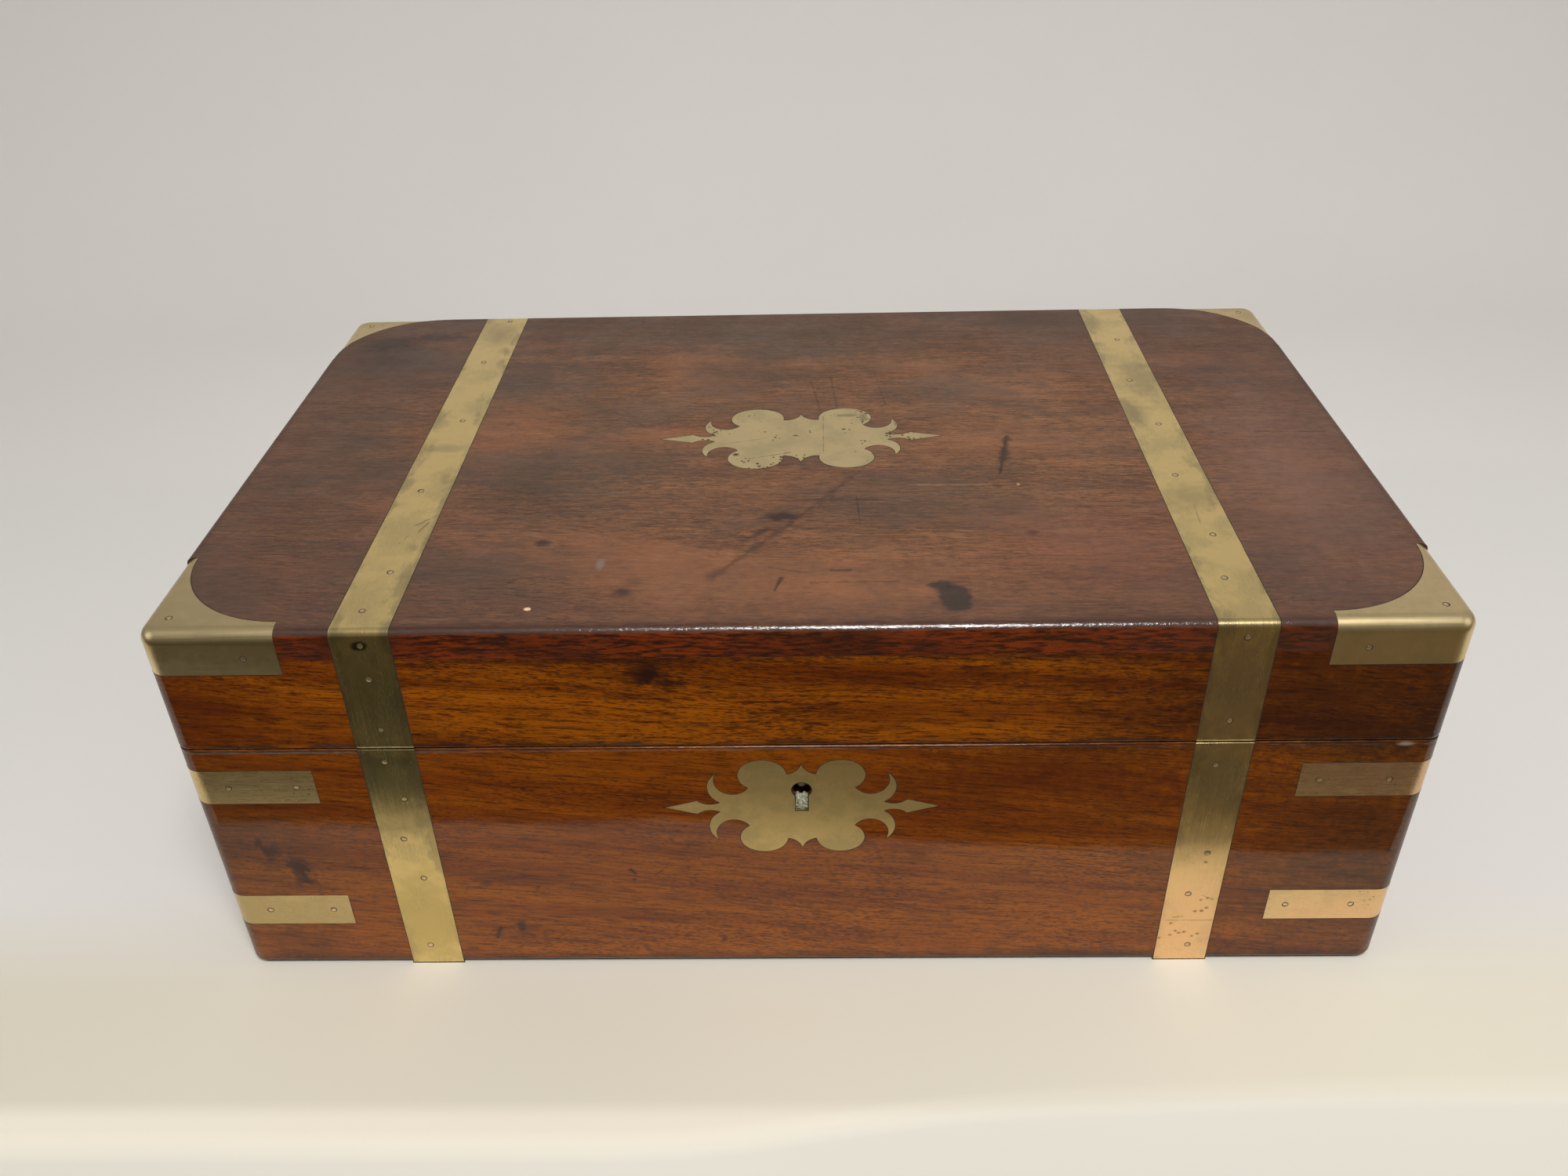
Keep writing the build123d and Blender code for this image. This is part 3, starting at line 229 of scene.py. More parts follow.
# %% Helpers for node groups
def new_group(name, takes, gives):
    """An empty node group. takes and gives list (socket name, kind, default)."""
    group = bpy.data.node_groups.new(name, "ShaderNodeTree")
    kinds = {"place": "NodeSocketVector", "colour": "NodeSocketColor", "value": "NodeSocketFloat"}
    for socket, kind, default in takes:
        made = group.interface.new_socket(socket, in_out="INPUT", socket_type=kinds[kind])
        if default is not None:
            made.default_value = default
    for socket, kind in gives:
        group.interface.new_socket(socket, in_out="OUTPUT", socket_type=kinds[kind])
    entry = group.nodes.new("NodeGroupInput")
    leave = group.nodes.new("NodeGroupOutput")
    return group, entry.outputs, leave.inputs


def give(tree, outputs, name, value):
    """Puts a value out of a group by name."""
    tree.links.new(value, outputs[name])


def use_group(tree, group, feeds):
    """Places a group in a material."""
    return add_node(tree, "ShaderNodeGroup", feeds, node_tree=group).outputs


print("helpers for groups ready")

# %% [markdown]
# ## The table and the light
#
# The box stands on a pale satin cloth that drops over the table's front edge just ahead of it, and
# sweeps up behind. The front edge matters: polish and brass low on the box mirror the bright cloth,
# and higher up they mirror the darker room past the edge. A painted mirror image would slide when
# the camera moves, so the real edge is built, and the reflection looks after itself.
#
# The cloth is a profile pulled sideways; its edge comes a little nearer at the right, and so does
# the line where the polish stops mirroring it. It only shows its front: seen from behind it is clear,
# so that the box's back and underside can be looked at too. Light that leaves the underside passes
# the cloth as well: a ray that has gone less than a millimetre when it meets the cloth goes through.

# %% The table cloth
CLOTH_EDGE_Y = -0.192
CLOTH_HALF_WIDTH = 1.6
CLOTH_Z = -0.0001
EDGE_R = 0.012
FALL_ANGLE = math.radians(50)
FALL_LENGTH = 0.05
COVE_Y = 0.46
COVE_R = 0.30
COVE_HEIGHT = 1.1
EDGE_STEPS = 8
COVE_STEPS = 24


def eased(value, low, high):
    """0 below low, 1 above high, and an easy curve between."""
    share = min(max((value - low) / (high - low), 0.0), 1.0)
    return share * share * (3 - 2 * share)


def cloth_profile(x):
    """The cloth's line in Y and Z at one x, from the foot of its front fall to the backdrop's top."""
    edge_y = CLOTH_EDGE_Y + 0.015 * eased(x, -0.06, 0.08) + 0.005 * eased(x, 0.05, 0.20)
    arc_y = edge_y - EDGE_R * math.sin(FALL_ANGLE)
    arc_z = EDGE_R * (math.cos(FALL_ANGLE) - 1)
    line = [(arc_y - FALL_LENGTH * math.cos(FALL_ANGLE), arc_z - FALL_LENGTH * math.sin(FALL_ANGLE))]
    for step in range(EDGE_STEPS + 1):
        a = FALL_ANGLE * (1 - step / EDGE_STEPS)
        line.append((edge_y - EDGE_R * math.sin(a), EDGE_R * (math.cos(a) - 1)))
    for step in range(COVE_STEPS + 1):
        a = math.pi / 2 * step / COVE_STEPS
        line.append((COVE_Y + COVE_R * math.sin(a), COVE_R * (1 - math.cos(a))))
    line.append((COVE_Y + COVE_R, COVE_HEIGHT))
    return [(y, z + CLOTH_Z) for y, z in line]


def pulled_sideways(name, profile, stops):
    """A sheet that follows a profile from stop to stop along X, with its front to the camera."""
    mesh = bpy.data.meshes.new(name)
    points = [(x, y, z) for x in stops for y, z in profile(x)]
    count = len(points) // len(stops)
    faces = []
    for column in range(len(stops) - 1):
        for n in range(column * count, (column + 1) * count - 1):
            faces.append((n, n + count, n + count + 1, n + 1))
    mesh.from_pydata(points, [], faces)
    mesh.shade_smooth()
    made = bpy.data.objects.new(name, mesh)
    bpy.context.scene.collection.objects.link(made)
    return made


cloth_stops = [-CLOTH_HALF_WIDTH] + [-0.10 + 0.02 * n for n in range(18)] + [CLOTH_HALF_WIDTH]
cloth = pulled_sideways("table_cloth", cloth_profile, cloth_stops)
print("cloth of", len(cloth.data.polygons), "faces")

# %% The cloth's satin
CLOTH_COLOUR = (0.78, 0.76, 0.73, 1)
# Painted light: behind SHADE_LINE_Y the satin is painted a slightly different tone, for the change of light
# where the floor meets the backdrop.
CLOTH_SHADE = (0.80, 0.775, 0.74, 1)
# Painted light: in front of the box the satin is painted warmer, and darker and browner at its left.
CLOTH_WARM_PAINTED_LIGHT = (0.79, 0.73, 0.58, 1)
CLOTH_NEAR_LEFT_PAINTED_SHADE = (0.70, 0.64, 0.51, 1)
# Painted light: the lip over the table's edge and the fall below it are painted brighter than the top of the
# cloth.
CLOTH_LIP_PAINTED_LIGHT = (0.88, 0.81, 0.66, 1)
CLOTH_FALL_PAINTED_LIGHT = (0.90, 0.85, 0.74, 1)
# Painted shade: soft darker clouds stand in for the shading of folds; the cloth itself is flat.
CLOTH_PAINTED_FOLD_SHADE = (0.68, 0.66, 0.64, 1)
SHADE_LINE_Y = 0.235
SHORT_RAY = 1 * MM

satin, tree = new_material("white_satin")
place = object_place(tree)
# Cloudy noise that places the painted shade of the folds.
fold_shade = noise(tree, scaled(tree, place, (1.6, 2.2, 2.2)), 3.0)
weave = noise(tree, scaled(tree, place, (900.0, 900.0, 900.0)), 1.0)
along = axes(tree, place)
depth = along["Y"]
# The painted warm light in front of the box, with painted shade at its left end.
warm = tinted(tree, CLOTH_WARM_PAINTED_LIGHT, [(along["X"], 0.22, -0.10, 1.0, CLOTH_NEAR_LEFT_PAINTED_SHADE)])
colour = tinted(tree, CLOTH_COLOUR, [
    (depth, -0.08, -0.15, 1.0, warm),
    (depth, -0.180, -0.189, 1.0, CLOTH_LIP_PAINTED_LIGHT),
    (along["Z"], -0.0005, -0.004, 1.0, CLOTH_FALL_PAINTED_LIGHT),
    # The painted change of light behind the box.
    (depth, SHADE_LINE_Y - 0.01, SHADE_LINE_Y + 0.02, 1.0, CLOTH_SHADE),
    (fold_shade, 0.35, 0.7, 0.25, CLOTH_PAINTED_FOLD_SHADE),
])
shader = add_node(tree, "ShaderNodeBsdfPrincipled", {
    "Base Color": colour,
    "Roughness": 0.75,
    "Specular IOR Level": 0.25,
    "Normal": raised(tree, weave, 0.05, 0.0002),
})
clear = add_node(tree, "ShaderNodeBsdfTransparent")
from_behind = add_node(tree, "ShaderNodeNewGeometry").outputs["Backfacing"]
travelled = add_node(tree, "ShaderNodeLightPath").outputs["Ray Length"]
passes = sums(tree, "MAXIMUM", from_behind, sums(tree, "LESS_THAN", travelled, SHORT_RAY))
both = add_node(tree, "ShaderNodeMixShader", {0: passes, 1: shader.outputs[0], 2: clear.outputs[0]})
finish_material(tree, both.outputs[0])
cloth.data.materials.append(satin)
print("cloth finish on", cloth.name)

# %% [markdown]
# The light is one soft lamp above and in front, a weak fill at each side, and a room that is pale
# above, dimmer in front and dark below the table. The lamp is only as wide as it needs to be: a
# polished edge mirrors it as a thin white line that ends where the lamp ends. A lamp under the cloth
# reaches only the underside. The camera, and the glass that it looks through, see the room pale;
# brass and polish mirror it as it is.

# %% Lamps
def soft_lamp(name, at, towards, size, power):
    """A rectangular lamp that faces a point."""
    data = bpy.data.lights.new(name, "AREA")
    data.shape = "RECTANGLE"
    data.size, data.size_y = size
    data.energy = power
    lamp = bpy.data.objects.new(name, data)
    bpy.context.scene.collection.objects.link(lamp)
    lamp.location = at
    lamp.rotation_euler = (Vector(towards) - Vector(at)).to_track_quat("-Z", "Y").to_euler()
    return lamp


soft_lamp("front_lamp", (0.12, -0.72, 1.30), (0.0, 0.0, 0.1), (0.42, 0.42), 15.0)
soft_lamp("left_fill", (-1.6, -0.6, 0.9), (0, 0, 0.05), (1.0, 1.0), 3.0)
soft_lamp("right_fill", (1.6, -0.6, 0.9), (0, 0, 0.05), (1.0, 1.0), 2.5)
under = soft_lamp("under_lamp", (0, 0, -0.5), (0, 0, 0), (0.4, 0.3), 2.0)
under.visible_camera = False
print("lamps:", [lamp.name for lamp in bpy.data.lights])

# %% The room
ROOM_ABOVE = (0.98, 0.96, 0.92, 1)
ROOM_FRONT = (0.42, 0.39, 0.35, 1)
ROOM_BELOW_LEFT = (0.17, 0.145, 0.095, 1)
ROOM_BELOW_RIGHT = (0.40, 0.30, 0.18, 1)
ROOM_SEEN = (0.80, 0.785, 0.76, 1)
ROOM_LEVEL = 0.36

room = bpy.data.worlds.new("room")
room.use_nodes = True
tree = room.node_tree
tree.nodes.clear()
direction = add_node(tree, "ShaderNodeTexCoord").outputs["Generated"]
pointing = axes(tree, direction)
below = mixed(tree, spread(tree, pointing["X"], -0.1, 0.35), ROOM_BELOW_LEFT, ROOM_BELOW_RIGHT)
above = mixed(tree, spread(tree, pointing["Y"], -0.2, -0.7), ROOM_ABOVE, ROOM_FRONT)
colour = mixed(tree, spread(tree, pointing["Z"], -0.05, 0.25), below, above)
lit = add_node(tree, "ShaderNodeBackground", {"Color": colour, "Strength": ROOM_LEVEL})
seen = add_node(tree, "ShaderNodeBackground", {"Color": ROOM_SEEN, "Strength": 1.0})
path = add_node(tree, "ShaderNodeLightPath").outputs
looked_at = sums(tree, "MAXIMUM", path["Is Camera Ray"], path["Is Transmission Ray"])
both = add_node(tree, "ShaderNodeMixShader", {0: looked_at, 1: lit.outputs[0], 2: seen.outputs[0]})
add_node(tree, "ShaderNodeOutputWorld", {"Surface": both.outputs[0]})
bpy.context.scene.world = room
bpy.context.scene.view_settings.view_transform = "Standard"
print("room:", len(tree.nodes), "nodes")

# %% [markdown]
# ## Mahogany
#
# Mahogany has no strong rings. What the eye reads is three things laid over each other, all drawn
# out along the board: slow bands of red-brown and orange, fine threads within them, and pores, which
# are short dark dashes a few millimetres long. The threads wander a little, because the grain of the
# tree did.
#
# All of it is noise read at a place that has been squeezed across the grain and stretched along it.
# Several boards share the effect, each with its own colours, so it is a node group. Its place input
# is in millimetres with the grain along X.

# %% Grain
PORE_BROWN = (0.022, 0.006, 0.003, 1)

grain, ins, outs = new_group(
    "mahogany_grain",
    [
        ("Place", "place", None),
        ("Dark", "colour", (0.05, 0.012, 0.004, 1)),
        ("Warm", "colour", (0.22, 0.06, 0.012, 1)),
        ("Light", "colour", (0.36, 0.12, 0.025, 1)),
        ("Pore depth", "value", 0.7),
        ("Pore share", "value", 0.5),
        ("Mottle", "value", 0.5),
    ],
    [("Colour", "colour"), ("Height", "value"), ("Pores", "value")],
)
wander = noise(grain, scaled(grain, ins["Place"], (0.006, 0.022, 0.022)), 2.0)
shift = times(grain, minus(grain, wander, 0.5), 14.0)
sideways = add_node(grain, "ShaderNodeCombineXYZ", {"X": 0.0, "Y": shift, "Z": shift}).outputs[0]
along_grain = place_sums(grain, "ADD", ins["Place"], sideways)

bands = noise(grain, scaled(grain, along_grain, (0.005, 0.11, 0.11)), 4.0, 0.6)
threads = noise(grain, scaled(grain, along_grain, (0.040, 1.0, 1.0)), 5.0, 0.75)
blotches = noise(grain, scaled(grain, along_grain, (0.03, 0.10, 0.10)), 3.0)
ribbon = noise(grain, scaled(grain, along_grain, (0.12, 0.95, 0.95)), 4.0, 0.7)

from_pore = cell_distance(grain, scaled(grain, along_grain, (0.32, 2.2, 2.2)))
pore_size = noise(grain, scaled(grain, along_grain, (0.02, 0.06, 0.06)), 1.0)
pore_edge = times(grain, plus(grain, pore_size, 0.1), times(grain, ins["Pore share"], 0.85))
pores = spread(grain, minus(grain, pore_edge, from_pore), -0.04, 0.07)
hairs = spread(grain, noise(grain, scaled(grain, along_grain, (0.06, 2.6, 2.6)), 2.0), 0.52, 0.64)

tone = mixed(grain, spread(grain, bands, 0.32, 0.66), ins["Warm"], ins["Light"])
thread_depth = plus(grain, times(grain, ins["Mottle"], 0.45), 0.30)
drawn = times(grain, spread(grain, threads, 0.48, 0.68), thread_depth)
figure = times(grain, spread(grain, ribbon, 0.50, 0.66), ins["Mottle"])
cloud = times(grain, spread(grain, blotches, 0.50, 0.75), times(grain, ins["Mottle"], 0.55))
for darkened in (drawn, figure, cloud):
    tone = mixed(grain, darkened, tone, ins["Dark"])
pore_mask = times(grain, pores, ins["Pore depth"])
hair_mask = times(grain, hairs, times(grain, ins["Pore depth"], 0.65))
dashes = sums(grain, "MAXIMUM", pore_mask, hair_mask)
tone = mixed(grain, dashes, tone, PORE_BROWN)
give(grain, outs, "Colour", tone)
give(grain, outs, "Height", minus(grain, times(grain, threads, 0.4), dashes))
give(grain, outs, "Pores", dashes)
print("grain group with", len(grain.nodes), "nodes")

# %% [markdown]
# ## Wear, and painted shade at the seam
#
# Polish goes dark where hands and dust collect: along the edges of the case and next to the brass.
# The box is a box, so the distance to its nearest edge can be worked out from the place alone: how
# far in from each pair of faces, then the second smallest of the three.
#
# A scratch is the distance to a line between two points, and a stain the distance to one point, both
# made ragged with a little noise. The seam is a slanting plane, so the distance from it is one dot
# product. The dark line along the seam is partly grime and partly painted shade, for the shade in the
# gap between lid and base.

# %% Grime along the edges
edge_wear, ins, outs = new_group(
    "edge_grime",
    [
        ("Place", "place", None),
        ("Centre", "place", (0, 0, 0)),
        ("Half size", "place", (1, 1, 1)),
        ("Reach", "value", 6.0),
    ],
    [("Mask", "value")],
)
outward = place_sums(edge_wear, "ABSOLUTE", place_sums(edge_wear, "SUBTRACT", ins["Place"], ins["Centre"]))
depths = axes(edge_wear, place_sums(edge_wear, "SUBTRACT", ins["Half size"], outward))
least_xy = sums(edge_wear, "MINIMUM", depths["X"], depths["Y"])
most_xy = sums(edge_wear, "MAXIMUM", depths["X"], depths["Y"])
second = sums(edge_wear, "MINIMUM", most_xy, sums(edge_wear, "MAXIMUM", least_xy, depths["Z"]))
ragged = noise(edge_wear, scaled(edge_wear, ins["Place"], (0.09, 0.09, 0.09)), 3.0)
reach = times(edge_wear, ins["Reach"], plus(edge_wear, ragged, 0.4))
clean = spread(edge_wear, sums(edge_wear, "DIVIDE", second, reach), 0.0, 1.0)
give(edge_wear, outs, "Mask", minus(edge_wear, 1.0, clean))
print("edge grime with", len(edge_wear.nodes), "nodes")

# %% Grime and painted shade along the seam
SLOPE = math.radians(6.520)
SEAM_AT = (0.0, 122.0, 74.25)
SEAM_NORMAL = (0.0, math.sin(SLOPE), math.cos(SLOPE))
SEAM_HALF_GAP = 0.3


def seam_distance(tree, place):
    """How far a place is from the slanting seam, in millimetres."""
    from_hinge = place_sums(tree, "SUBTRACT", place, SEAM_AT)
    return sums(tree, "ABSOLUTE", measured(tree, "DOT_PRODUCT", from_hinge, SEAM_NORMAL))


# Grime and painted shade: the mask darkens the wood on both sides of the seam, for the dirt there and for the
# shade in the gap.
seam_grime_and_shade, ins, outs = new_group(
    "seam_grime_and_shade", [("Place", "place", None), ("Reach", "value", 2.0)], [("Mask", "value")]
)
off_seam = seam_distance(seam_grime_and_shade, ins["Place"])
ragged = noise(seam_grime_and_shade, scaled(seam_grime_and_shade, ins["Place"], (0.06, 0.06, 0.25)), 4.0)
reach = times(seam_grime_and_shade, ins["Reach"], spread(seam_grime_and_shade, ragged, 0.3, 0.7, 0.35, 1.6))
outer = spread(seam_grime_and_shade, off_seam, SEAM_HALF_GAP + 0.05, SEAM_HALF_GAP + 0.35)
near = minus(seam_grime_and_shade, 1.0, spread(seam_grime_and_shade, off_seam, SEAM_HALF_GAP, reach))
give(seam_grime_and_shade, outs, "Mask", times(seam_grime_and_shade, near, outer))
print("seam grime with", len(seam_grime_and_shade.nodes), "nodes")

# %% A scratch
scratch, ins, outs = new_group(
    "scratch",
    [
        ("Place", "place", None),
        ("From", "place", (0, 0, 0)),
        ("To", "place", (1, 0, 0)),
        ("Width", "value", 0.5),
    ],
    [("Mask", "value")],
)
line = place_sums(scratch, "SUBTRACT", ins["To"], ins["From"])
here = place_sums(scratch, "SUBTRACT", ins["Place"], ins["From"])
run = measured(scratch, "DOT_PRODUCT", line, line)
share = sums(scratch, "DIVIDE", measured(scratch, "DOT_PRODUCT", here, line), run, clamp=True)
nearest = add_node(scratch, "ShaderNodeVectorMath", {0: line, "Scale": share}, operation="SCALE").outputs[0]
off_line = measured(scratch, "LENGTH", place_sums(scratch, "SUBTRACT", here, nearest))
skip = noise(scratch, scaled(scratch, ins["Place"], (0.22, 0.22, 0.22)), 3.0)
width = times(scratch, ins["Width"], spread(scratch, skip, 0.35, 0.65, 0.25, 1.5))
give(scratch, outs, "Mask", minus(scratch, 1.0, spread(scratch, off_line, 0.0, width)))
print("scratch with", len(scratch.nodes), "nodes")

# %% A stain
stain, ins, outs = new_group(
    "stain",
    [
        ("Place", "place", None),
        ("Centre", "place", (0, 0, 0)),
        ("Size", "place", (5, 5, 5)),
        ("Ragged", "value", 0.5),
        ("Core", "value", 0.55),
    ],
    [("Mask", "value")],
)
off_centre = place_sums(stain, "SUBTRACT", ins["Place"], ins["Centre"])
distance = measured(stain, "LENGTH", place_sums(stain, "DIVIDE", off_centre, ins["Size"]))
blot = noise(stain, scaled(stain, ins["Place"], (0.25, 0.25, 0.25)), 4.0, 0.6)
rough_edge = times(stain, minus(stain, blot, 0.5), times(stain, ins["Ragged"], 3.0))
past_core = spread(stain, plus(stain, distance, rough_edge), ins["Core"], 1.0)
give(stain, outs, "Mask", minus(stain, 1.0, past_core))
print("stain with", len(stain.nodes), "nodes")

# %% [markdown]
# ## The polished case
#
# The front, back and sides are French polish over mahogany: a clear hard skin on a red-brown
# ground. In the Principled shader the wood is the base and the polish is the coat. The side boards
# run from front to back, so their grain is turned by a quarter turn.
#
# Marks are lists of places, so that one short loop draws them all.

# %% Helpers for a finish in millimetres
CASE_CENTRE = tuple(v / MM for v in (low + high) / 2)
CASE_HALF = (203.0, 123.0, 74.25)
FACE_Y = low.y / MM


def millimetres(tree):
    """The place on the box, in millimetres."""
    return scaled(tree, object_place(tree), (1 / MM, 1 / MM, 1 / MM))


def turned(tree, place, about_z=0.0, about_y=0.0, shift=(0, 0, 0)):
    """A place turned, to run the grain another way, and shifted, to be cut from another tree."""
    turn = (0, math.radians(about_y), math.radians(about_z))
    feeds = {"Vector": place, "Location": shift, "Rotation": turn}
    return add_node(tree, "ShaderNodeMapping", feeds).outputs[0]


def marked(tree, place, colour, stains=(), scratches=()):
    """Lays marks over a colour.

    A stain is (centre, size, colour, strength), with the size of its solid core last if it has one
    of its own. A scratch is (start, end, width, colour, strength).
    """
    for centre, size, mark_colour, strength, *core in stains:
        feeds = {"Place": place, "Centre": centre, "Size": size, "Ragged": 0.35}
        mask = use_group(tree, stain, {**feeds, "Core": core[0] if core else 0.55})["Mask"]
        colour = mixed(tree, times(tree, mask, strength), colour, mark_colour)
    for start, end, width, mark_colour, strength in scratches:
        feeds = {"Place": place, "From": start, "To": end, "Width": width}
        mask = use_group(tree, scratch, feeds)["Mask"]
        colour = mixed(tree, times(tree, mask, strength), colour, mark_colour)
    return colour


def case_edges(tree, place, reach):
    """High along the edges of the box, as far in as reach."""
    feeds = {"Place": place, "Centre": CASE_CENTRE, "Half size": CASE_HALF, "Reach": reach}
    return use_group(tree, edge_wear, feeds)["Mask"]


def coat_skin(tree, place, dented):
    """The skin of the polish: a slow ripple, with dents where dented is high."""
    ripple = noise(tree, scaled(tree, place, (0.045, 0.045, 0.045)), 1.0)
    dents = noise(tree, scaled(tree, place, (0.30, 0.55, 0.55)), 4.0, 0.65)
    return raised(tree, plus(tree, times(tree, ripple, 0.3), times(tree, dents, dented)), 0.5, 0.001)


print("case of", [round(2 * half, 1) for half in CASE_HALF], "mm, front face at", round(FACE_Y, 1))

# %% French polish
EDGE_GRIME = (0.03, 0.010, 0.005, 1)
# The colour of the seam's dark line, which is partly grime and partly painted shade.
SEAM_GRIME_AND_SHADE = (0.012, 0.004, 0.003, 1)
SEAM_DUST = (0.085, 0.066, 0.050, 1)
EDGE_REACH = 9.0
SEAM_REACH = 2.4


def polished(name, dark, warm, light, pore_share=0.5, mottle=0.5, about_z=0.0, about_y=0.0, shift=(0, 0, 0),
             stains=(), scratches=()):
    """French-polished mahogany with its grain, grime and marks."""
    made, tree = new_material(name)
    place = millimetres(tree)
    wood = use_group(tree, grain, {
        "Place": turned(tree, place, about_z, about_y, shift),
        "Dark": dark,
        "Warm": warm,
        "Light": light,
        "Pore share": pore_share,
        "Mottle": mottle,
    })
    colour = mixed(tree, times(tree, case_edges(tree, place, EDGE_REACH), 0.75), wood["Colour"], EDGE_GRIME)
    # The seam's dark line: grime and painted shade.
    rim = use_group(tree, seam_grime_and_shade, {"Place": place, "Reach": SEAM_REACH})["Mask"]
    colour = mixed(tree, times(tree, rim, 0.85), colour, SEAM_GRIME_AND_SHADE)
    dust = noise(tree, scaled(tree, place, (0.03, 0.5, 0.5)), 3.0)
    dusty = times(tree, rim, spread(tree, dust, 0.52, 0.66, 0.0, 0.6))
    colour = mixed(tree, dusty, colour, SEAM_DUST)
    ripple = times(tree, noise(tree, scaled(tree, place, (0.05, 0.05, 0.05)), 3.0), 0.6)
    surface = plus(tree, times(tree, wood["Height"], 0.03), ripple)
    off_seam = seam_distance(tree, place)
    lip = spread(tree, off_seam, SEAM_HALF_GAP, SEAM_HALF_GAP + 0.3)
    by_seam = times(tree, spread(tree, off_seam, 2.2, 1.0, 0.04, 0.45), lip)
    principled(tree, {
        "Base Color": marked(tree, place, colour, stains, scratches),
        "Roughness": spread(tree, wood["Pores"], 0.0, 1.0, 0.38, 0.6),
        "Specular IOR Level": 0.06,
        "Coat Weight": spread(tree, rim, 0.2, 0.9, 0.5, 1.0),
        "Coat Roughness": 0.05,
        "Coat IOR": 1.7,
        "Coat Normal": coat_skin(tree, place, by_seam),
        "Normal": raised(tree, surface, 0.5, 0.001),
    })
    return made


print("polish ready")

# %% Polished boards
SOOT = (0.028, 0.012, 0.010, 1)
KNOT = (0.026, 0.007, 0.004, 1)
DEEP_RED = (0.080, 0.011, 0.001, 1)
DULL_BROWN = (0.056, 0.015, 0.003, 1)
RED_GROUND = (0.030, 0.004, 0.0006, 1)
DARK_GROUND = (0.018, 0.007, 0.003, 1)
SMUDGE = (0.036, 0.008, 0.003, 1)
CHIPPED = (0.42, 0.35, 0.28, 1)

WOOD_DARK = (0.050, 0.008, 0.0008, 1)
case_wood = dict(dark=WOOD_DARK, warm=(0.200, 0.040, 0.0006, 1), light=(0.420, 0.110, 0.001, 1))
even_wood = dict(dark=WOOD_DARK, warm=(0.235, 0.049, 0.0007, 1), light=(0.372, 0.096, 0.001, 1))
base_front_finish = polished(
    "polished_base_front", **even_wood, pore_share=0.55, mottle=0.55, about_y=-6.0, shift=(40, 0, 310),
    stains=[
        # The DARK_GROUND marks make the right end of the front darker, with a band under the seam there and
        # strips along the bottom.
        ((190, FACE_Y, 50), (95, 9, 120), DARK_GROUND, 0.76, -0.3),
        ((180, FACE_Y, 99), (50, 9, 8), DARK_GROUND, 0.75, -0.2),
        ((95, FACE_Y, 100), (80, 9, 6), DARK_GROUND, 0.45, -0.2),
        ((108, FACE_Y, 70), (46, 9, 18), DARK_GROUND, 0.30, -0.3),
        ((115, FACE_Y, 2), (90, 9, 7), DARK_GROUND, 0.50, -0.2),
        ((-182, FACE_Y, 14), (28, 9, 20), DARK_GROUND, 0.35, -0.2),
        ((191, FACE_Y, 101), (4.6, 3, 1.1), CHIPPED, 0.7, 0.2),
        ((60, FACE_Y, 86), (90, 9, 10), DEEP_RED, 0.5, -0.3),
        ((-190, FACE_Y, 70), (60, 9, 60), DULL_BROWN, 0.6, -0.2),
        ((90, FACE_Y, 92), (110, 9, 24), DEEP_RED, 0.6, -0.2),
        ((-101, FACE_Y, 19), (2.2, 3, 4.4), SOOT, 0.8, 0.35),
        ((-110.4, FACE_Y, 41), (3.4, 3, 2.2), SOOT, 0.6, 0.1),
        ((-58.8, FACE_Y, 42.5), (1.2, 3, 0.8), SOOT, 0.8, 0.3),
        ((-29, FACE_Y, 12), (1.6, 3, 2.2), DEEP_RED, 0.8, 0.2),
    ],
    scratches=[
        ((-186.0, FACE_Y, 61.0), (-183.5, FACE_Y, 57), 6.5, SMUDGE, 0.95),
        ((-177.0, FACE_Y, 50.5), (-173.5, FACE_Y, 49), 4.5, SMUDGE, 0.85),
        ((-173.5, FACE_Y, 48), (-172.5, FACE_Y, 43), 6.0, SMUDGE, 0.95),
        ((-110.5, FACE_Y, 13.5), (-108.5, FACE_Y, 18.5), 1.1, SOOT, 0.85),
        ((-108.5, FACE_Y, 18.5), (-104.5, FACE_Y, 19), 0.8, SOOT, 0.7),
        ((-59.8, FACE_Y, 47.4), (-58.2, FACE_Y, 45.2), 0.9, SOOT, 0.9),
        ((-51.4, FACE_Y, 44.2), (-48.8, FACE_Y, 47), 1.0, SOOT, 0.6),
        ((-57, FACE_Y, 7), (-55, FACE_Y, 5.5), 0.8, SOOT, 0.7),
        ((60, FACE_Y, 34), (78, FACE_Y, 36), 0.35, SOOT, 0.5),
    ],
)
lid_front_finish = polished(
    "polished_lid_front", **case_wood, pore_share=0.62, mottle=0.85, about_y=-4.0, shift=(120, 0, 40),
    stains=[
        # The first two marks make the right half of the lid front darker.
        ((165, FACE_Y, 118), (120, 9, 70), RED_GROUND, 0.78, 0.1),
        ((206, FACE_Y, 112), (30, 9, 60), DARK_GROUND, 0.6, -0.2),
        ((20, FACE_Y, 128), (70, 9, 12), DEEP_RED, 0.45, -0.2),
        ((-190, FACE_Y, 118), (40, 9, 60), DEEP_RED, 0.6, 0.0),
        ((-60, FACE_Y, 137), (120, 9, 2.6), KNOT, 0.7, 0.0),
        ((70, FACE_Y, 137), (80, 9, 3.4), KNOT, 0.6, 0.0),
        ((-47.5, FACE_Y, 131), (9.5, 3, 6.0), KNOT, 0.95, 0.15),
        ((-41, FACE_Y, 128), (10, 3, 3.0), KNOT, 0.8, 0.1),
        ((-52, FACE_Y, 123), (16, 3, 3.0), KNOT, 0.5, -0.1),
    ],
)
back_finish = polished("polished_back", **case_wood, about_y=1.5, shift=(400, 0, 120))
side_finish = polished("polished_sides", **case_wood, about_z=90.0, shift=(200, 90, 0))
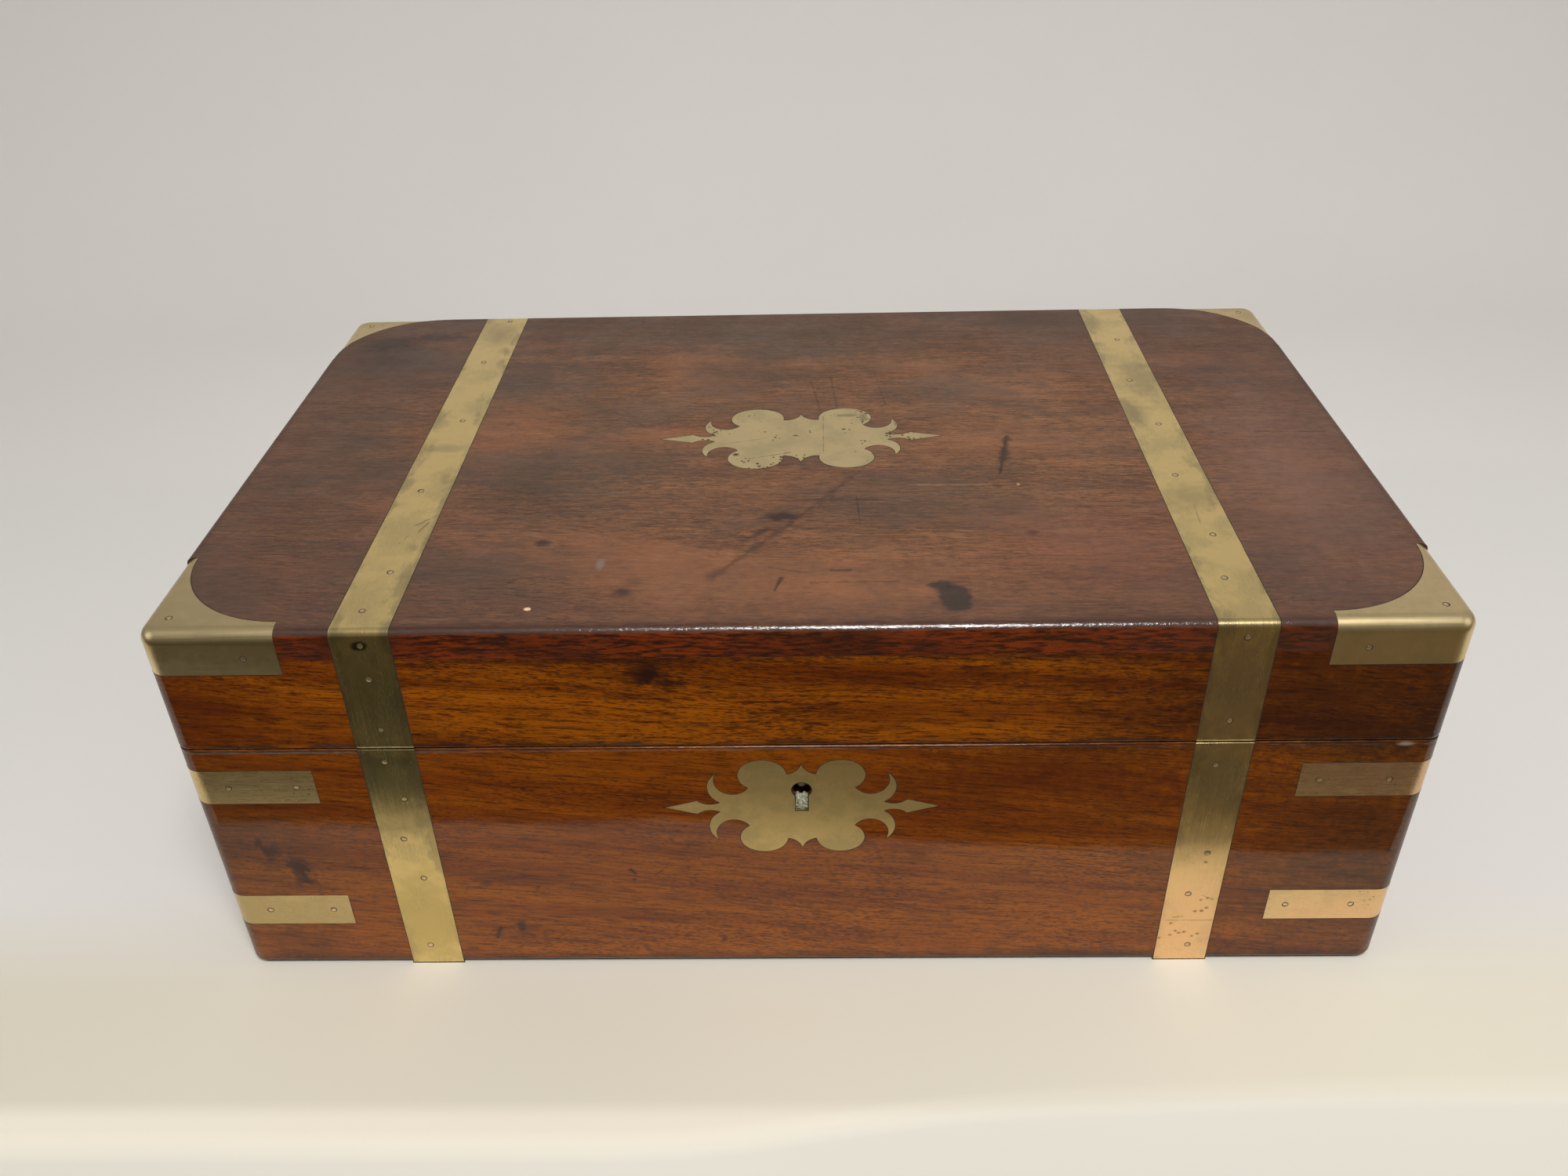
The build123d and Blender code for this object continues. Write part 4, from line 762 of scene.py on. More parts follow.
print("polished boards:", [m.name for m in bpy.data.materials if m.name.startswith("polished")])

# %% [markdown]
# ## The lid's top
#
# The top has been leaned on and written on for two hundred years. Its polish has gone hazy, so the
# coat is thin and rough, the middle is worn to orange streaks, the rest is brown, and it carries an
# ink stain, a chip, a long diagonal scratch and many small ones. The board's own front edge shows
# under the polish as a dark red band, so below the rounded edge the finish changes with height.

# %% Marks on the top
TOP_Z = high.z / MM
PALE = (0.45, 0.26, 0.15, 1)
GREY_RUB = (0.180, 0.145, 0.130, 1)


def on_top(x, from_front):
    """A place on the top, by its distance from the front face."""
    return (x, FACE_Y + from_front, TOP_Z)


WORN_ORANGE = (0.340, 0.130, 0.050, 1)
OLD_BROWN = (0.050, 0.035, 0.023, 1)
TOP_STAINS = [
    (on_top(4, 24), (84, 32, 9), WORN_ORANGE, 0.50, -0.3),
    (on_top(-112, 165), (62, 46, 9), OLD_BROWN, 0.50, -0.3),
    (on_top(-50, 124), (40, 12, 9), WORN_ORANGE, 0.50, -0.2),
    (on_top(70, 118), (60, 22, 9), WORN_ORANGE, 0.35, -0.3),
    (on_top(96, 45), (60, 42, 9), (0.260, 0.085, 0.050, 1), 0.40, -0.3),
    (on_top(-88, 88), (66, 40, 9), OLD_BROWN, 0.62, -0.2),
    (on_top(-88, 34), (42, 24, 9), OLD_BROWN, 0.40, -0.3),
    (on_top(-170, 120), (36, 100, 9), OLD_BROWN, 0.50, -0.3),
    (on_top(-20, 222), (190, 44, 9), OLD_BROWN, 0.72, -0.3),
    (on_top(-172, 205), (40, 50, 9), OLD_BROWN, 0.60, -0.2),
    (on_top(175, 90), (46, 110, 9), (0.250, 0.120, 0.085, 1), 0.45, -0.2),
    (on_top(47.8, 15.0), (6.6, 10.0, 3), (0.026, 0.019, 0.016, 1), 0.85, 0.62),
    (on_top(44.5, 22.0), (6.0, 3.4, 3), (0.020, 0.016, 0.014, 1), 0.85, 0.45),
    (on_top(-83.9, 11.2), (1.5, 1.2, 3), (0.75, 0.50, 0.33, 1), 1.0),
    (on_top(-55.6, 19.6), (5, 4, 3), SOOT, 0.75, 0.1),
    (on_top(-53.0, 25.5), (5, 4, 3), SOOT, 0.35, 0.0),
    (on_top(-6.8, 64.8), (8.5, 4.4, 3), SOOT, 0.9, 0.3),
    (on_top(-12.7, 55.7), (4, 2.6, 3), SOOT, 0.6, 0.1),
    (on_top(-33.8, 61.8), (6, 4, 3), SOOT, 0.45, 0.0),
    (on_top(-85.4, 49.5), (4, 3.4, 3), SOOT, 0.8, 0.1),
    (on_top(77.0, 52.6), (3, 2.4, 3), SOOT, 0.6, 0.1),
    (on_top(76.4, 85.1), (0.9, 0.9, 3), PALE, 1.0),
    (on_top(-64.8, 36.1), (1.8, 4.6, 3), GREY_RUB, 0.8, 0.3),
    (on_top(-180, 216), (16, 12, 3), SOOT, 0.75, 0.0),
    (on_top(-161, 224), (18, 7, 3), SOOT, 0.8, 0.1),
    (on_top(-172, 200), (12, 10, 3), SOOT, 0.45, 0.0),
]
TOP_SCRATCHES = [
    (on_top(-28, 28), on_top(-3, 61), 2.6, SOOT, 0.45),
    (on_top(-19, 49.5), on_top(-11, 57), 1.8, SOOT, 0.5),
    (on_top(-3, 61), on_top(21, 96), 2.2, SOOT, 0.38),
    (on_top(1, 76.3), on_top(26, 75.7), 1.4, SOOT, 0.55),
    (on_top(71, 93), on_top(77, 122), 2.6, SOOT, 0.85),
    (on_top(19.3, 79), on_top(20.2, 58.5), 0.6, SOOT, 0.6),
    (on_top(-8, 20), on_top(-6, 27), 1.0, SOOT, 0.8),
    (on_top(-10, 33), on_top(2, 30), 0.4, SOOT, 0.5),
    (on_top(3.7, 24.2), on_top(30.3, 24.5), 1.3, SOOT, 0.45),
    (on_top(10, 31.2), on_top(16, 31.2), 0.9, SOOT, 0.7),
    (on_top(169.3, 122.8), on_top(195.1, 122), 0.6, SOOT, 0.8),
    (on_top(-146, 21.8), on_top(-141, 21), 0.6, SOOT, 0.8),
    (on_top(4, 172), on_top(8, 141), 0.8, SOOT, 0.45),
    (on_top(12, 176), on_top(14, 146), 0.6, SOOT, 0.4),
    (on_top(30, 180), on_top(33, 150), 0.7, SOOT, 0.35),
    (on_top(-66, 210), on_top(-58, 206), 0.6, SOOT, 0.4),
    (on_top(37, 85.8), on_top(67, 85), 0.8, PALE, 0.25),
    (on_top(-70, 82), on_top(-30, 86), 0.6, PALE, 0.15),
]

print("marks on the top:", len(TOP_STAINS), "stains and", len(TOP_SCRATCHES), "scratches")

# %% Worn top
TOP_GRIME = (0.035, 0.012, 0.008, 1)
TOP_REACH = 5.0
BAND_DARK = (0.032, 0.005, 0.001, 1)
BAND_RED = (0.240, 0.034, 0.001, 1)
BAND_BROWN = (0.030, 0.007, 0.003, 1)

worn_top, tree = new_material("worn_top")
place = millimetres(tree)
board = turned(tree, place, 1.5, 0.0, (70, 35, 0))
wood = use_group(tree, grain, {
    "Place": board,
    "Dark": (0.045, 0.019, 0.011, 1),
    "Warm": (0.165, 0.068, 0.028, 1),
    "Light": (0.250, 0.106, 0.040, 1),
    "Pore share": 0.50,
    "Pore depth": 0.75,
    "Mottle": 0.60,
})
streaks = noise(tree, scaled(tree, turned(tree, place, 3.0), (0.035, 0.42, 0.42)), 6.0, 0.78)
fine = noise(tree, scaled(tree, turned(tree, place, 2.0), (0.20, 2.4, 2.4)), 4.0, 0.75)
flecks = noise(tree, scaled(tree, turned(tree, place, 2.5), (0.28, 1.15, 1.15)), 4.0, 0.65)
patches = noise(tree, scaled(tree, turned(tree, place, 12.0), (0.013, 0.027, 0.027)), 6.0, 0.66)
greyed = noise(tree, scaled(tree, place, (0.014, 0.022, 0.022)), 5.0, 0.6)
from_middle = measured(tree, "LENGTH", scaled(tree, place, (1 / 230.0, 1 / 150.0, 0.0)))
colour = tinted(tree, wood["Colour"], [
    (streaks, 0.50, 0.68, 0.32, (0.350, 0.128, 0.045, 1)),
    (streaks, 0.48, 0.32, 0.36, (0.040, 0.018, 0.012, 1)),
    (fine, 0.52, 0.66, 0.45, (0.400, 0.170, 0.075, 1)),
    (fine, 0.48, 0.36, 0.55, (0.030, 0.013, 0.009, 1)),
    (flecks, 0.54, 0.66, 0.62, (0.026, 0.012, 0.009, 1)),
    (flecks, 0.43, 0.32, 0.34, (0.340, 0.140, 0.062, 1)),
    (patches, 0.50, 0.66, 0.45, (0.330, 0.125, 0.052, 1)),
    (greyed, 0.46, 0.64, 0.50, (0.066, 0.045, 0.032, 1)),
    (from_middle, 0.35, 1.00, 0.55, (0.060, 0.030, 0.023, 1)),
])
edges = case_edges(tree, place, TOP_REACH)
colour = mixed(tree, times(tree, edges, 0.7), colour, TOP_GRIME)

height = axes(tree, place)["Z"]
side_of_board = spread(tree, height, TOP_Z - 0.9, TOP_Z - 2.0)
band_grain = noise(tree, scaled(tree, board, (0.14, 0.9, 0.9)), 4.0, 0.7)
band_clouds = noise(tree, scaled(tree, place, (0.02, 0.02, 0.02)), 2.0)
edge_band = mixed(tree, spread(tree, band_grain, 0.38, 0.62), BAND_DARK, BAND_RED)
edge_band = tinted(tree, edge_band, [(band_clouds, 0.45, 0.65, 0.6, BAND_BROWN)])
colour = mixed(tree, side_of_board, colour, edge_band)

ripple = noise(tree, scaled(tree, place, (0.05, 0.05, 0.05)), 3.0)
rub = noise(tree, scaled(tree, place, (1.1, 1.1, 1.1)), 2.0)
surface = plus(tree, times(tree, wood["Height"], 0.06), times(tree, ripple, 0.8))
surface = plus(tree, surface, times(tree, edges, times(tree, rub, 0.08)))
haze = noise(tree, scaled(tree, place, (0.03, 0.03, 0.03)), 4.0, 0.6)
hazy = spread(tree, haze, 0.3, 0.7, 0.40, 0.60)
principled(tree, {
    "Base Color": marked(tree, place, colour, TOP_STAINS, TOP_SCRATCHES),
    "Roughness": minus(tree, hazy, times(tree, side_of_board, 0.15)),
    "Specular IOR Level": 0.25,
    "Coat Weight": spread(tree, height, TOP_Z - 0.12, TOP_Z - 0.6, 0.12, 1.0),
    "Coat Roughness": 0.05,
    "Coat IOR": 1.6,
    "Coat Normal": coat_skin(tree, place, spread(tree, height, TOP_Z - 0.05, TOP_Z - 0.3, 0.1, 0.5)),
    "Normal": raised(tree, surface, 0.6, 0.001),
})
print("worn top with", len(tree.nodes), "nodes")

# %% [markdown]
# Inside, the wood has been shut away from hands and light. It is the same mahogany, only oiled:
# cleaner, a little paler, and with a low sheen. Some boards run across the box and some from front
# to back, so there are two of it, one a quarter turn from the other.


# %% Clean wood inside
def inner_wood(name, about_z=0.0, shift=(0, 0, 0)):
    """Oiled mahogany that has been shut away."""
    made, tree = new_material(name)
    wood = use_group(tree, grain, {
        "Place": turned(tree, millimetres(tree), about_z, 0.0, shift),
        "Dark": (0.105, 0.030, 0.012, 1),
        "Warm": (0.205, 0.066, 0.024, 1),
        "Light": (0.300, 0.110, 0.040, 1),
        "Pore share": 0.42,
        "Pore depth": 0.55,
        "Mottle": 0.3,
    })
    principled(tree, {
        "Base Color": wood["Colour"],
        "Roughness": spread(tree, wood["Pores"], 0.0, 1.0, 0.42, 0.7),
        "Coat Weight": 0.25,
        "Coat Roughness": 0.3,
        "Normal": raised(tree, wood["Height"], 0.35, 0.0002),
    })
    return made


inner_long = inner_wood("inner_wood_long", 0.0, (15, 60, 0))
inner_cross = inner_wood("inner_wood_cross", 90.0, (30, 0, 60))
print("inner wood:", inner_long.name, inner_cross.name)

# %% [markdown]
# ## Brass
#
# The brass sheet was filed flush with the wood and has been rubbed with it ever since. It is a real
# metal, so most of its colour comes from what it mirrors: bright low on the front where it mirrors
# the cloth, olive higher up. What the material adds is the tarnish, in soft olive clouds, brown pits
# and freckles, and the fine lines of polishing along the strap, which blur a reflection one way. Low
# on the front it also adds a painted reflection: the straps and corner strips are painted redder at
# the right, for the warm light mirrored there, and greener at the left.
#
# The straps were sawn through with the case, so at the seam their edges are rubbed round and catch
# the light. Along their sides the tarnish stays, because the cloth that rubs the middle skips there.

# %% Tarnish
PIT_BROWN = (0.055, 0.030, 0.012, 1)
LEAST_ROUGH = 0.24

tarnish, ins, outs = new_group(
    "brass_tarnish",
    [
        ("Place", "place", None),
        ("Bright", "colour", (0.60, 0.48, 0.22, 1)),
        ("Dull", "colour", (0.30, 0.25, 0.12, 1)),
        ("Cloud", "value", 0.5),
        ("Pitting", "value", 0.4),
        ("Line scale", "place", (0.06, 5.0, 5.0)),
    ],
    [("Colour", "colour"), ("Roughness", "value"), ("Height", "value")],
)
clouds = noise(tarnish, scaled(tarnish, ins["Place"], (0.055, 0.055, 0.055)), 5.0, 0.62)
freckles = noise(tarnish, scaled(tarnish, ins["Place"], (0.5, 0.5, 0.5)), 3.0, 0.6)
from_pit = cell_distance(tarnish, scaled(tarnish, ins["Place"], (0.55, 0.55, 0.55)))
pit_where = noise(tarnish, scaled(tarnish, ins["Place"], (0.07, 0.07, 0.07)), 2.0)
pit_size = times(tarnish, ins["Pitting"], 0.36)
pit_reach = times(tarnish, spread(tarnish, pit_where, 0.48, 0.68), pit_size)
pits = spread(tarnish, minus(tarnish, pit_reach, from_pit), -0.03, 0.05)
rubbing = noise(tarnish, scaled(tarnish, ins["Place"], ins["Line scale"]), 3.0, 0.6)
cloud_mask = times(tarnish, spread(tarnish, clouds, 0.42, 0.62), ins["Cloud"])
colour = mixed(tarnish, cloud_mask, ins["Bright"], ins["Dull"])
colour = tinted(tarnish, colour, [
    (freckles, 0.56, 0.78, 0.35, ins["Dull"]),
    (rubbing, 0.58, 0.40, 0.10, ins["Dull"]),
])
colour = mixed(tarnish, times(tarnish, pits, 0.8), colour, PIT_BROWN)
give(tarnish, outs, "Colour", colour)
dulled = plus(tarnish, times(tarnish, cloud_mask, 0.07), spread(tarnish, rubbing, 0.35, 0.65, 0.0, 0.06))
dulled = plus(tarnish, dulled, times(tarnish, pits, 0.1))
give(tarnish, outs, "Roughness", plus(tarnish, dulled, LEAST_ROUGH))
lines = plus(tarnish, times(tarnish, rubbing, 0.05), times(tarnish, clouds, 0.35))
give(tarnish, outs, "Height", minus(tarnish, lines, times(tarnish, pits, 0.4)))
print("tarnish group with", len(tarnish.nodes), "nodes")

# %% The edges of a strap
CUT_ROUND = 0.6
STRAP_X = 134.0
DARK_BRASS = (0.34, 0.28, 0.15, 1)


def cut_edge(tree, place):
    """A normal that rolls over at the seam, where a strap was sawn through and its edge rubbed round."""
    flat = spread(tree, seam_distance(tree, place), SEAM_HALF_GAP, SEAM_HALF_GAP + CUT_ROUND)
    short = minus(tree, 1.0, flat)
    return raised(tree, minus(tree, 1.0, times(tree, short, short)), 1.0, 0.0004)


def strap_edges(tree, place):
    """Where cloths don't reach: high along both edges of a strap, in and out."""
    off_middle = sums(tree, "ABSOLUTE", minus(tree, sums(tree, "ABSOLUTE", axes(tree, place)["X"]), STRAP_X))
    ragged = noise(tree, scaled(tree, place, (0.10, 0.05, 0.05)), 4.0, 0.65)
    reach = plus(tree, off_middle, spread(tree, ragged, 0.30, 0.70, -5.0, 5.0))
    return spread(tree, reach, 6.0, 11.0)


print("straps lie", STRAP_X, "mm either side of the middle")

# %% Aged brass
ALONG_X = (0.06, 5.0, 5.0)
ALONG_YZ = (5.0, 0.06, 0.06)


def brass(name, bright, dull, cloud=0.5, pitting=0.4, lines=ALONG_X, roughness=0.0, marks=(), scratches=(),
          strap=False):
    """Brass with its tarnish; lines squeezes the noise that draws the polishing lines."""
    made, tree = new_material(name)
    place = millimetres(tree)
    sheet = use_group(tree, tarnish, {
        "Place": place,
        "Bright": bright,
        "Dull": dull,
        "Cloud": cloud,
        "Pitting": pitting,
        "Line scale": lines,
    })
    colour = sheet["Colour"]
    if strap:
        colour = mixed(tree, times(tree, strap_edges(tree, place), 0.55), colour, DARK_BRASS)
    principled(tree, {
        "Base Color": marked(tree, place, colour, marks, scratches),
        "Metallic": 1.0,
        "Roughness": plus(tree, sheet["Roughness"], roughness),
        "Normal": raised(tree, sheet["Height"], 0.25, 0.0002, cut_edge(tree, place) if strap else None),
    })
    return made


print("brass ready")

# %% Marks on the straps
GOLD_BRASS = (0.86, 0.65, 0.285, 1)
OLIVE_BRASS = (0.50, 0.41, 0.21, 1)
# Painted reflection: the warmer, redder brass that the straps and strips low on the front right are painted,
# for the warm light they mirror.
PAINTED_WARM_REFLECTION = (0.90, 0.57, 0.31, 1)
GREEN_BRASS = (0.31, 0.30, 0.15, 1)
strap_marks = [
    # Painted reflection of warm light, low on the right strap.
    ((134, FACE_Y, 20), (30, 30, 58), PAINTED_WARM_REFLECTION, 0.9, 0.0),
    (on_top(133.8, 75), (16, 13, 6), DARK_BRASS, 0.5, 0.1),
    (on_top(139, 172), (15, 26, 6), DARK_BRASS, 0.55, 0.1),
    (on_top(129, 140), (7, 18, 6), DARK_BRASS, 0.5, 0.1),
    (on_top(-133.8, 118), (14, 5, 6), DARK_BRASS, 0.45, 0.1),
    (on_top(-124.5, 60), (2.5, 60, 6), DARK_BRASS, 0.6, 0.0),
    (on_top(-134, 226), (14, 20, 6), DARK_BRASS, 0.5, 0.0),
    ((-134, FACE_Y, 97), (16, 9, 4), DARK_BRASS, 0.5, 0.1),
    ((-137, FACE_Y, 67), (16, 9, 5), DARK_BRASS, 0.6, -0.1),
    ((-127, FACE_Y, 70), (5, 9, 7), DARK_BRASS, 0.6, 0.0),
    ((134, FACE_Y, 60), (18, 9, 6), DARK_BRASS, 0.35, -0.1),
    ((134, FACE_Y, 86), (20, 9, 30), DARK_BRASS, 0.60, 0.1),
    ((-134, FACE_Y, 88), (20, 9, 26), GREEN_BRASS, 0.60, 0.1),
    # Painted reflection: the left strap low on the front is painted greener, for the light it mirrors.
    ((-134, FACE_Y, 24), (20, 30, 34), (0.60, 0.47, 0.19, 1), 0.8, 0.3),
    ((-134, FACE_Y, 122), (22, 9, 26), GREEN_BRASS, 0.45, 0.1),
    ((134, FACE_Y, 122), (22, 9, 32), (0.42, 0.31, 0.21, 1), 0.65, 0.1),
]
RUST = (0.16, 0.075, 0.030, 1)
RUST_PLACES = [
    (137.1, 30.6), (139.2, 31.5), (135.9, 25.0), (139.6, 26.7), (138.2, 25.2), (130.5, 15.0), (131.8, 14.0),
    (133.6, 14.5), (136.7, 12.4), (129.0, 13.0), (125.3, 11.5), (138.4, 13.6), (136.0, 49.0), (128.4, 19.0),
]
strap_marks += [((x, FACE_Y, z), (1.0, 3, 0.8), RUST, 0.75, 0.1) for x, z in RUST_PLACES]
strap_marks += [((-134, FACE_Y, 143.3), (3.0, 3, 2.7), (0.060, 0.036, 0.022, 1), 0.9, 0.5)]
strap_scratches = [
    (on_top(-131, 62), on_top(-125, 69), 0.5, DARK_BRASS, 0.9),
    (on_top(-129, 58), on_top(-127, 64), 0.5, DARK_BRASS, 0.9),
    (on_top(-134, 50), on_top(-132, 55), 0.4, DARK_BRASS, 0.9),
    (on_top(133, 56), on_top(134, 70), 0.3, DARK_BRASS, 0.6),
    ((126, FACE_Y, 20.5), (143, FACE_Y, 20.5), 0.3, DARK_BRASS, 0.7),
    ((129, FACE_Y, 22), (132, FACE_Y, 22.5), 0.6, DARK_BRASS, 0.5),
    ((137, FACE_Y, 33), (141, FACE_Y, 31), 0.6, DARK_BRASS, 0.7),
]
print("marks on the straps:", len(strap_marks), "stains and", len(strap_scratches), "scratches")

# %% Brass finishes
strap_brass = brass(
    "strap_brass", GOLD_BRASS, OLIVE_BRASS, 0.45, 0.20, ALONG_YZ, -0.04,
    marks=strap_marks, scratches=strap_scratches, strap=True,
)
corner_brass = brass(
    "corner_brass", (0.74, 0.58, 0.31, 1), OLIVE_BRASS, 0.5, 0.30, roughness=0.05,
    marks=[
        (on_top(-186, 20), (50, 50, 6), (0.58, 0.46, 0.26, 1), 0.8, 0.0),
        (on_top(186, 20), (50, 50, 6), (0.84, 0.66, 0.38, 1), 0.6, 0.0),
        ((-190, FACE_Y, 130), (50, 9, 13), (0.90, 0.74, 0.46, 1), 0.8, 0.3),
    ],
)
strip_brass = brass(
    "strip_brass", (0.74, 0.56, 0.29, 1), OLIVE_BRASS, 0.45, 0.55,
    marks=[
        # These three marks are painted reflection: redder on the right strip, greener at the bottom of the
        # left one.
        ((190, FACE_Y, 20), (60, 90, 26), PAINTED_WARM_REFLECTION, 0.9, 0.0),
        ((190, FACE_Y, 90), (60, 60, 26), (0.67, 0.44, 0.27, 1), 0.9, 0.2),
        ((-190, FACE_Y, 24), (60, 60, 26), (0.53, 0.41, 0.20, 1), 0.9, 0.2),
    ],
)
plaque_brass = brass(
    "plaque_brass", (0.74, 0.59, 0.32, 1), (0.54, 0.46, 0.25, 1), 0.6, 1.1, roughness=0.08,
    marks=[
        (on_top(18, 141), (7, 2.0, 3), DARK_BRASS, 0.8, 0.2),
        (on_top(24, 139), (2.2, 6.0, 3), DARK_BRASS, 0.8, 0.2),
        (on_top(36.5, 134), (1.6, 4.5, 3), DARK_BRASS, 0.8, 0.2),
        (on_top(27.5, 109), (2.5, 1.6, 3), DARK_BRASS, 0.9, 0.2),
        (on_top(-2, 124.5), (1.6, 0.8, 3), SOOT, 0.9, 0.2),
        (on_top(-24, 110), (1.6, 1.4, 3), SOOT, 0.9, 0.2),
    ],
    scratches=[
        (on_top(8.3, 110), on_top(8.5, 140), 0.35, DARK_BRASS, 0.8),
        (on_top(-18, 107), on_top(-4, 111), 0.5, SOOT, 0.8),
        (on_top(-30, 118), on_top(-12, 123), 0.3, DARK_BRASS, 0.7),
    ],
)
escutcheon_brass = brass(
    "escutcheon_brass", (0.80, 0.61, 0.27, 1), (0.58, 0.46, 0.21, 1), 0.7, 0.20, roughness=0.05
)
fitting_brass = brass("fitting_brass", (0.74, 0.56, 0.24, 1), (0.45, 0.33, 0.13, 1), 0.5, 0.2)
lock_plate_brass = brass("lock_plate_brass", (0.62, 0.46, 0.20, 1), (0.36, 0.27, 0.11, 1), 0.7, 0.3)
pin_brass = brass("pin_brass", (0.88, 0.67, 0.39, 1), (0.56, 0.43, 0.23, 1), 0.5, 0.3, roughness=0.04)
print("brass:", [m.name for m in bpy.data.materials if m.name.endswith("_brass")])

# %% [markdown]
# ## Leather, cloth, glass and steel
#
# The writing surface is skiver, a thin split leather, dyed dark green and gone brown at the edges.
# Its grain is a mesh of tiny rounded cells, which is what Voronoi distance to the edge draws. The
# baize under the box is a soft brown fuzz, the bottles are old glass with a dry film of ink, and the
# steel of the lock is lathe-turned and spotted.

# %% Leather
leather, tree = new_material("green_skiver")
place = millimetres(tree)
pebbles = cell_distance(tree, scaled(tree, place, (1.5, 1.5, 1.5)), 0.9, "DISTANCE_TO_EDGE")
fading = noise(tree, scaled(tree, place, (0.018, 0.018, 0.018)), 4.0, 0.6)
scuffs = noise(tree, scaled(tree, place, (0.35, 0.12, 0.12)), 4.0, 0.65)
colour = mixed(tree, spread(tree, fading, 0.35, 0.68), (0.012, 0.040, 0.026, 1), (0.040, 0.065, 0.034, 1))
colour = tinted(tree, colour, [(scuffs, 0.60, 0.80, 0.5, (0.090, 0.085, 0.045, 1))])
# Painted shade: the creases between the grain's cells are painted darker.
colour = mixed(tree, spread(tree, pebbles, 0.0, 0.12, 0.45, 0.0), colour, (0.006, 0.014, 0.009, 1))
principled(tree, {
    "Base Color": colour,
    "Roughness": spread(tree, scuffs, 0.3, 0.7, 0.38, 0.62),
    "Normal": raised(tree, spread(tree, pebbles, 0.0, 0.3), 0.35, 0.0002),
})
print(leather.name, "with", len(tree.nodes), "nodes")

# %% Baize
baize, tree = new_material("brown_baize")
place = millimetres(tree)
fibres = noise(tree, scaled(tree, place, (3.5, 3.5, 3.5)), 4.0, 0.7)
dust = noise(tree, scaled(tree, place, (0.05, 0.05, 0.05)), 3.0)
colour = mixed(tree, fibres, (0.030, 0.027, 0.024, 1), (0.105, 0.095, 0.080, 1))
principled(tree, {
    "Base Color": tinted(tree, colour, [(dust, 0.45, 0.75, 0.4, (0.16, 0.15, 0.13, 1))]),
    "Roughness": 0.95,
    "Sheen Weight": 0.4,
    "Normal": raised(tree, fibres, 0.8, 0.0004),
})
print(baize.name, "with", len(tree.nodes), "nodes")

# %% Glass
glass, tree = new_material("inkwell_glass")
place = millimetres(tree)
wave = noise(tree, scaled(tree, place, (0.12, 0.12, 0.12)), 2.0)
film = noise(tree, scaled(tree, place, (0.3, 0.3, 0.15)), 4.0, 0.6)
principled(tree, {
    "Base Color": mixed(tree, spread(tree, film, 0.5, 0.75), (0.90, 0.96, 0.93, 1), (0.45, 0.48, 0.55, 1)),
    "Roughness": spread(tree, film, 0.4, 0.8, 0.03, 0.22),
    "IOR": 1.5,
    "Transmission Weight": 1.0,
    "Normal": raised(tree, wave, 0.3, 0.001),
})
print(glass.name, "with", len(tree.nodes), "nodes")

# %% Steel
steel, tree = new_material("lock_steel")
turning = noise(tree, scaled(tree, millimetres(tree), (1.5, 1.5, 6.0)), 3.0)
principled(tree, {
    "Base Color": mixed(tree, turning, (0.16, 0.14, 0.12, 1), (0.42, 0.40, 0.38, 1)),
    "Metallic": 1.0,
    "Roughness": spread(tree, turning, 0.2, 0.8, 0.3, 0.5),
    "Normal": raised(tree, turning, 0.2, 0.0001),
})
print(steel.name, "with", len(tree.nodes), "nodes")

# %% [markdown]
# Four finishes are for the small added pieces: the dark glue that shows as a hairline round every
# inlay, the paler wax round the pins, the gold leaf of the tooling, and the greenish crumbs packed
# in the keyhole. The dark glue also floors the screw slots, where it is painted shade as well as dirt.

# %% Glue, wax, gold leaf and keyhole crumbs
def small_finish(name, colours, roughness, metallic=0.0, scale=1.2, strength=0.3):
    """A finish that runs between two colours and two roughnesses, cloud by cloud."""
    made, tree = new_material(name)
    clouds = noise(tree, scaled(tree, millimetres(tree), (scale, scale, scale)), 4.0, 0.65)
    principled(tree, {
        "Base Color": mixed(tree, spread(tree, clouds, 0.35, 0.65), *colours),
        "Metallic": metallic,
        "Roughness": spread(tree, clouds, 0.3, 0.7, *roughness),
        "Normal": raised(tree, clouds, strength, 0.0003),
    })
    return made


GLUE_AND_SLOT_SHADE_COLOURS = ((0.008, 0.005, 0.003, 1), (0.040, 0.022, 0.012, 1))
WAX_COLOURS = ((0.040, 0.027, 0.015, 1), (0.140, 0.100, 0.052, 1))
GOLD_COLOURS = ((0.42, 0.27, 0.08, 1), (0.80, 0.58, 0.22, 1))
CRUMB_COLOURS = ((0.20, 0.19, 0.12, 1), (0.62, 0.64, 0.50, 1))
# This dark finish also floors the screw slots, where it is painted shade as well as dirt.
old_glue_and_slot_shade = small_finish("old_glue_and_slot_shade", GLUE_AND_SLOT_SHADE_COLOURS, (0.55, 0.9), scale=0.4)
pin_wax = small_finish("pin_wax", WAX_COLOURS, (0.55, 0.8), scale=0.4)
gold_leaf = small_finish("gold_leaf", GOLD_COLOURS, (0.28, 0.5), metallic=1.0, scale=0.6)
key_crumbs = small_finish("key_crumbs", CRUMB_COLOURS, (0.8, 0.95), scale=1.6, strength=0.9)
print("small finishes:", old_glue_and_slot_shade.name, pin_wax.name, gold_leaf.name, key_crumbs.name)

# %% [markdown]
# ## Dressing the solids
#
# Each CAD solid is one piece of one stuff, so a table of finishes and the solids that wear them says
# it all. The two rows of pegs are dressed too, though brass pin heads stand for them further on.

